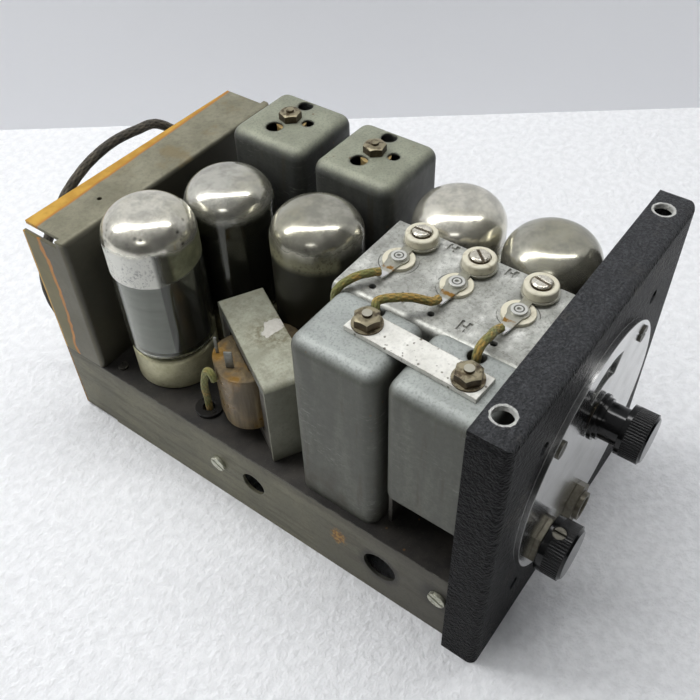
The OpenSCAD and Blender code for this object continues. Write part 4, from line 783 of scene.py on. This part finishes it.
def sleeve(name, routes, build, radius, strands, pitch, depth):
    """Tubes with crossing yarns, as one mesh; the upper yarn is kept as a vertex value."""
    verts, faces, yarns = [], [], []
    around = SIDES_PER_STRAND * strands
    for route in routes:
        rings = even_route(smooth_route(route), RING_STEP)
        up = Vector((0.1, 0.2, 1.0))
        first = len(verts)
        for j, (p, s) in enumerate(rings):
            before, after = rings[max(j - 1, 0)][0], rings[min(j + 1, len(rings) - 1)][0]
            ahead = (after - before).normalized()
            up = (up - ahead * up.dot(ahead)).normalized()
            side = ahead.cross(up)
            for k in range(around):
                turn = 2 * math.pi * k / around
                one = math.cos(strands * turn + 2 * math.pi * s / pitch)
                two = math.cos(strands * turn - 2 * math.pi * s / pitch)
                r = radius - depth * (1 - max(one, two)) / 2
                verts.append(p + r * (math.cos(turn) * up + math.sin(turn) * side))
                yarns.append(0.5 + 0.5 * math.tanh(2.5 * (one - two)))
            if j:
                a, b = first + (j - 1) * around, first + j * around
                faces += [(a + k, a + (k + 1) % around, b + (k + 1) % around, b + k)
                          for k in range(around)]
        faces.append(tuple(reversed(range(first, first + around))))
        faces.append(tuple(range(len(verts) - around, len(verts))))
    mesh = bpy.data.meshes.new(name)
    mesh.from_pydata(verts, [], faces)
    mesh.attributes.new("yarn", "FLOAT", "POINT").data.foreach_set("value", yarns)
    mesh.shade_smooth()
    mesh.materials.append(build.mat)
    return link(bpy.data.objects.new(name, mesh))


def dress(obj, node):
    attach(obj, "receiver")
    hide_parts(node)


def lead_sleeve(name, routes, node):
    obj = sleeve(name, routes, lead_fabric, LEAD_D / 2, strands=7, pitch=3.2 * MM, depth=0.16 * MM)
    dress(obj, node)


def beside_coil(p, a, z):
    """Place from the coil's axis: p and a along its own turned sides, z above the deck."""
    return at(COIL_X + p * math.cos(COIL_TURN) + a * math.sin(COIL_TURN),
              COIL_Y - p * math.sin(COIL_TURN) + a * math.cos(COIL_TURN), DECK_TOP + z)


# The cord's points are millimetres behind the chassis
CORD = [(38, -17.4, 56), (38, -10.4, 56), (38, -2, 56.3), (37.7, 7, 58.6), (35.6, 16, 64.6),
        (28, 21, 72), (18, 21, 74.5), (8, 21, 75.5), (-1, 21, 74.5), (-9, 21, 72), (-18, 21, 67),
        (-27, 21, 58.5), (-33.5, 21, 49), (-36, 21, 39.5), (-36, 20, 29), (-34.2, 16, 20),
        (-31.6, 10, 15), (-31, 4.5, 14), (-31, 0.2, 14)]
cord_braid = yarn_fabric("cord_braid", (0.022, 0.019, 0.014), (0.060, 0.052, 0.038),
                         (0.125, 0.106, 0.074))
cord_points = [Vector((x * MM, REAR_Y + y * MM, z * MM)) for x, y, z in CORD]
cord = sleeve("rear_cord_braid", [cord_points], cord_braid, CORD_D / 2, strands=8,
              pitch=5.0 * MM, depth=0.22 * MM)
dress(cord, "rear_cord")

lead_fabric = yarn_fabric("lead_fabric", (0.115, 0.105, 0.026), (0.190, 0.200, 0.060),
                          (0.42, 0.26, 0.060))
leads = []
for lug_y, hole_x, hole_y in ((LUG_Y[0], -23.92, 23.3), (LUG_Y[1], -25.12, 52.1)):
    leads.append([at(LUG_X + 0.6, lug_y, LUG_Z + 1.25), at(LUG_X - 2, lug_y + 0.6, LUG_Z + 1.9),
                  at(LUG_X - 6, (lug_y + hole_y) / 2, CAN_TOP + 1.4),
                  at(hole_x + 2.2, hole_y + 0.2, CAN_TOP + 2.1),
                  at(hole_x, hole_y, CAN_TOP + 0.6), at(hole_x - 0.3, hole_y, CAN_TOP - 4)])
DROP_X, DROP_Y = -21.52, 68.1
leads.append([at(LUG_X + 0.6, LUG_Y[2], LUG_Z + 1.25), at(LUG_X - 2, LUG_Y[2] + 1.6, LUG_Z + 1.8),
              at(LUG_X - 5.4, LUG_Y[2] + 4, LUG_Z + 1.6),
              at(DROP_X + 1, DROP_Y - 0.8, LUG_Z - 0.6), at(DROP_X, DROP_Y, LUG_Z - 5),
              at(DROP_X, DROP_Y, LUG_Z - 20), at(DROP_X, DROP_Y, DECK_TOP)])
lead_sleeve("can_lead_sleeves", leads, "can_leads")
coil_lead = [beside_coil(-16.8, -1.4, 22.2), beside_coil(-17.2, -0.6, 24.6),
             beside_coil(-18.2, 1.6, 23.8), beside_coil(-19.2, 4.2, 15.5)]
coil_lead += [at(GROMMET_X, GROMMET_Y, z) for z in (36.5, 31.5, 26.3)]
lead_sleeve("coil_lead_sleeve", [coil_lead], "transformer_leads")

# Camera at the photograph's place
PITCH, YAW, ROLL = (math.radians(a) for a in (46.46, 37.89, 2.06))
ahead = Vector((math.cos(PITCH) * math.cos(YAW), math.cos(PITCH) * math.sin(YAW),
                -math.sin(PITCH)))
right = Vector((math.sin(YAW), -math.cos(YAW), 0))
down = ahead.cross(right)
cam_x = math.cos(ROLL) * right + math.sin(ROLL) * down
cam_y = math.sin(ROLL) * right - math.cos(ROLL) * down
cam_data = bpy.data.cameras.new("camera")
cam_data.sensor_width = 36
cam_data.lens = 44.06
cam_data.clip_start = 0.01
camera = link(bpy.data.objects.new("camera", cam_data))
camera.matrix_world = Matrix((cam_x, cam_y, -ahead)).transposed().to_4x4()
camera.location = (-0.1520, -0.1135, 0.2427)
bpy.context.scene.camera = camera


# Stage
def plane(name, corners, build):
    """A stage surface that a camera behind or below it looks through."""
    behind = build.node("ShaderNodeNewGeometry").outputs["Backfacing"]
    build.blend(behind, build.bsdf, build.node("ShaderNodeBsdfTransparent"))
    mesh = bpy.data.meshes.new(name)
    mesh.from_pydata(corners, [], [tuple(range(len(corners)))])
    mesh.materials.append(build.mat)
    link(bpy.data.objects.new(name, mesh))


FLOOR_SIDES, FLOOR_DEPTH, WALL_HEIGHT = 2.0, 2.4, 1.6
floor_white = Build("floor_white")
pebble = floor_white.noise(300, 5, 0.6)
floor_white.set(Base_Color=floor_white.mix(floor_white.band(pebble, 0.35, 0.65),
                                           (0.82, 0.827, 0.838), (0.90, 0.907, 0.918)))
floor_white.set(Roughness=0.9, Normal=floor_white.bump(pebble, 0.8, 0.0014))
wall_grey = Build("wall_grey")
wall_grey.set(Base_Color=wall_grey.mix(wall_grey.noise(8, 3),
                                       (0.71, 0.72, 0.745), (0.74, 0.75, 0.775)))
wall_grey.set(Roughness=0.95, Emission_Color=(0.95, 0.96, 1), Emission_Strength=0.22)
edge_a, edge_b = Vector((0.0542, 0.2717, 0)), Vector((0.2734, -0.0140, 0))
along = (edge_b - edge_a).normalized()
far_a, far_b = edge_a - along * FLOOR_SIDES, edge_b + along * FLOOR_SIDES
near = Vector((along.y, -along.x, 0)) * FLOOR_DEPTH
rise = Vector((0, 0, WALL_HEIGHT))
plane("floor", [far_a, far_a + near, far_b + near, far_b], floor_white)
plane("wall", [far_a, far_b, far_b + rise, far_a + rise], wall_grey)


# Light: a long soft strip overhead, a small one from the left, a sky that is paler overhead
def strip(name, place, length, width, power):
    data = bpy.data.lights.new(name, "AREA")
    data.shape = "RECTANGLE"
    data.size, data.size_y = length, width
    data.energy = power
    axis_z = Vector(place).normalized()
    axis_x = (right - axis_z * right.dot(axis_z)).normalized()
    axis_y = axis_z.cross(axis_x)
    obj = link(bpy.data.objects.new(name, data))
    obj.matrix_world = Matrix((axis_x, axis_y, axis_z)).transposed().to_4x4()
    obj.location = place


strip("key", (0.0, 0.26, 0.90), 1.9, 0.20, 12.2)
strip("side", (-0.72, -0.26, 0.68), 0.30, 0.12, 0.45)
world = bpy.data.worlds.new("world")
world.use_nodes = True
sky = world.node_tree
up = sky.nodes.new("ShaderNodeVectorMath")
up.operation = "DOT_PRODUCT"
up.inputs[1].default_value = (0.0, 0.5, 0.866)
sky.links.new(sky.nodes.new("ShaderNodeTexCoord").outputs["Generated"], up.inputs[0])
lift = sky.nodes.new("ShaderNodeMapRange")
lift.interpolation_type = "SMOOTHSTEP"
sky.links.new(up.outputs["Value"], lift.inputs["Value"])
for key, value in (("From Min", 0.15), ("From Max", 0.95), ("To Min", 0.04), ("To Max", 0.52)):
    lift.inputs[key].default_value = value
sky.links.new(lift.outputs["Result"], sky.nodes["Background"].inputs["Strength"])
sky.nodes["Background"].inputs["Color"].default_value = (0.90, 0.92, 0.95, 1)
bpy.context.scene.world = world
bpy.context.scene.view_settings.view_transform = "Standard"
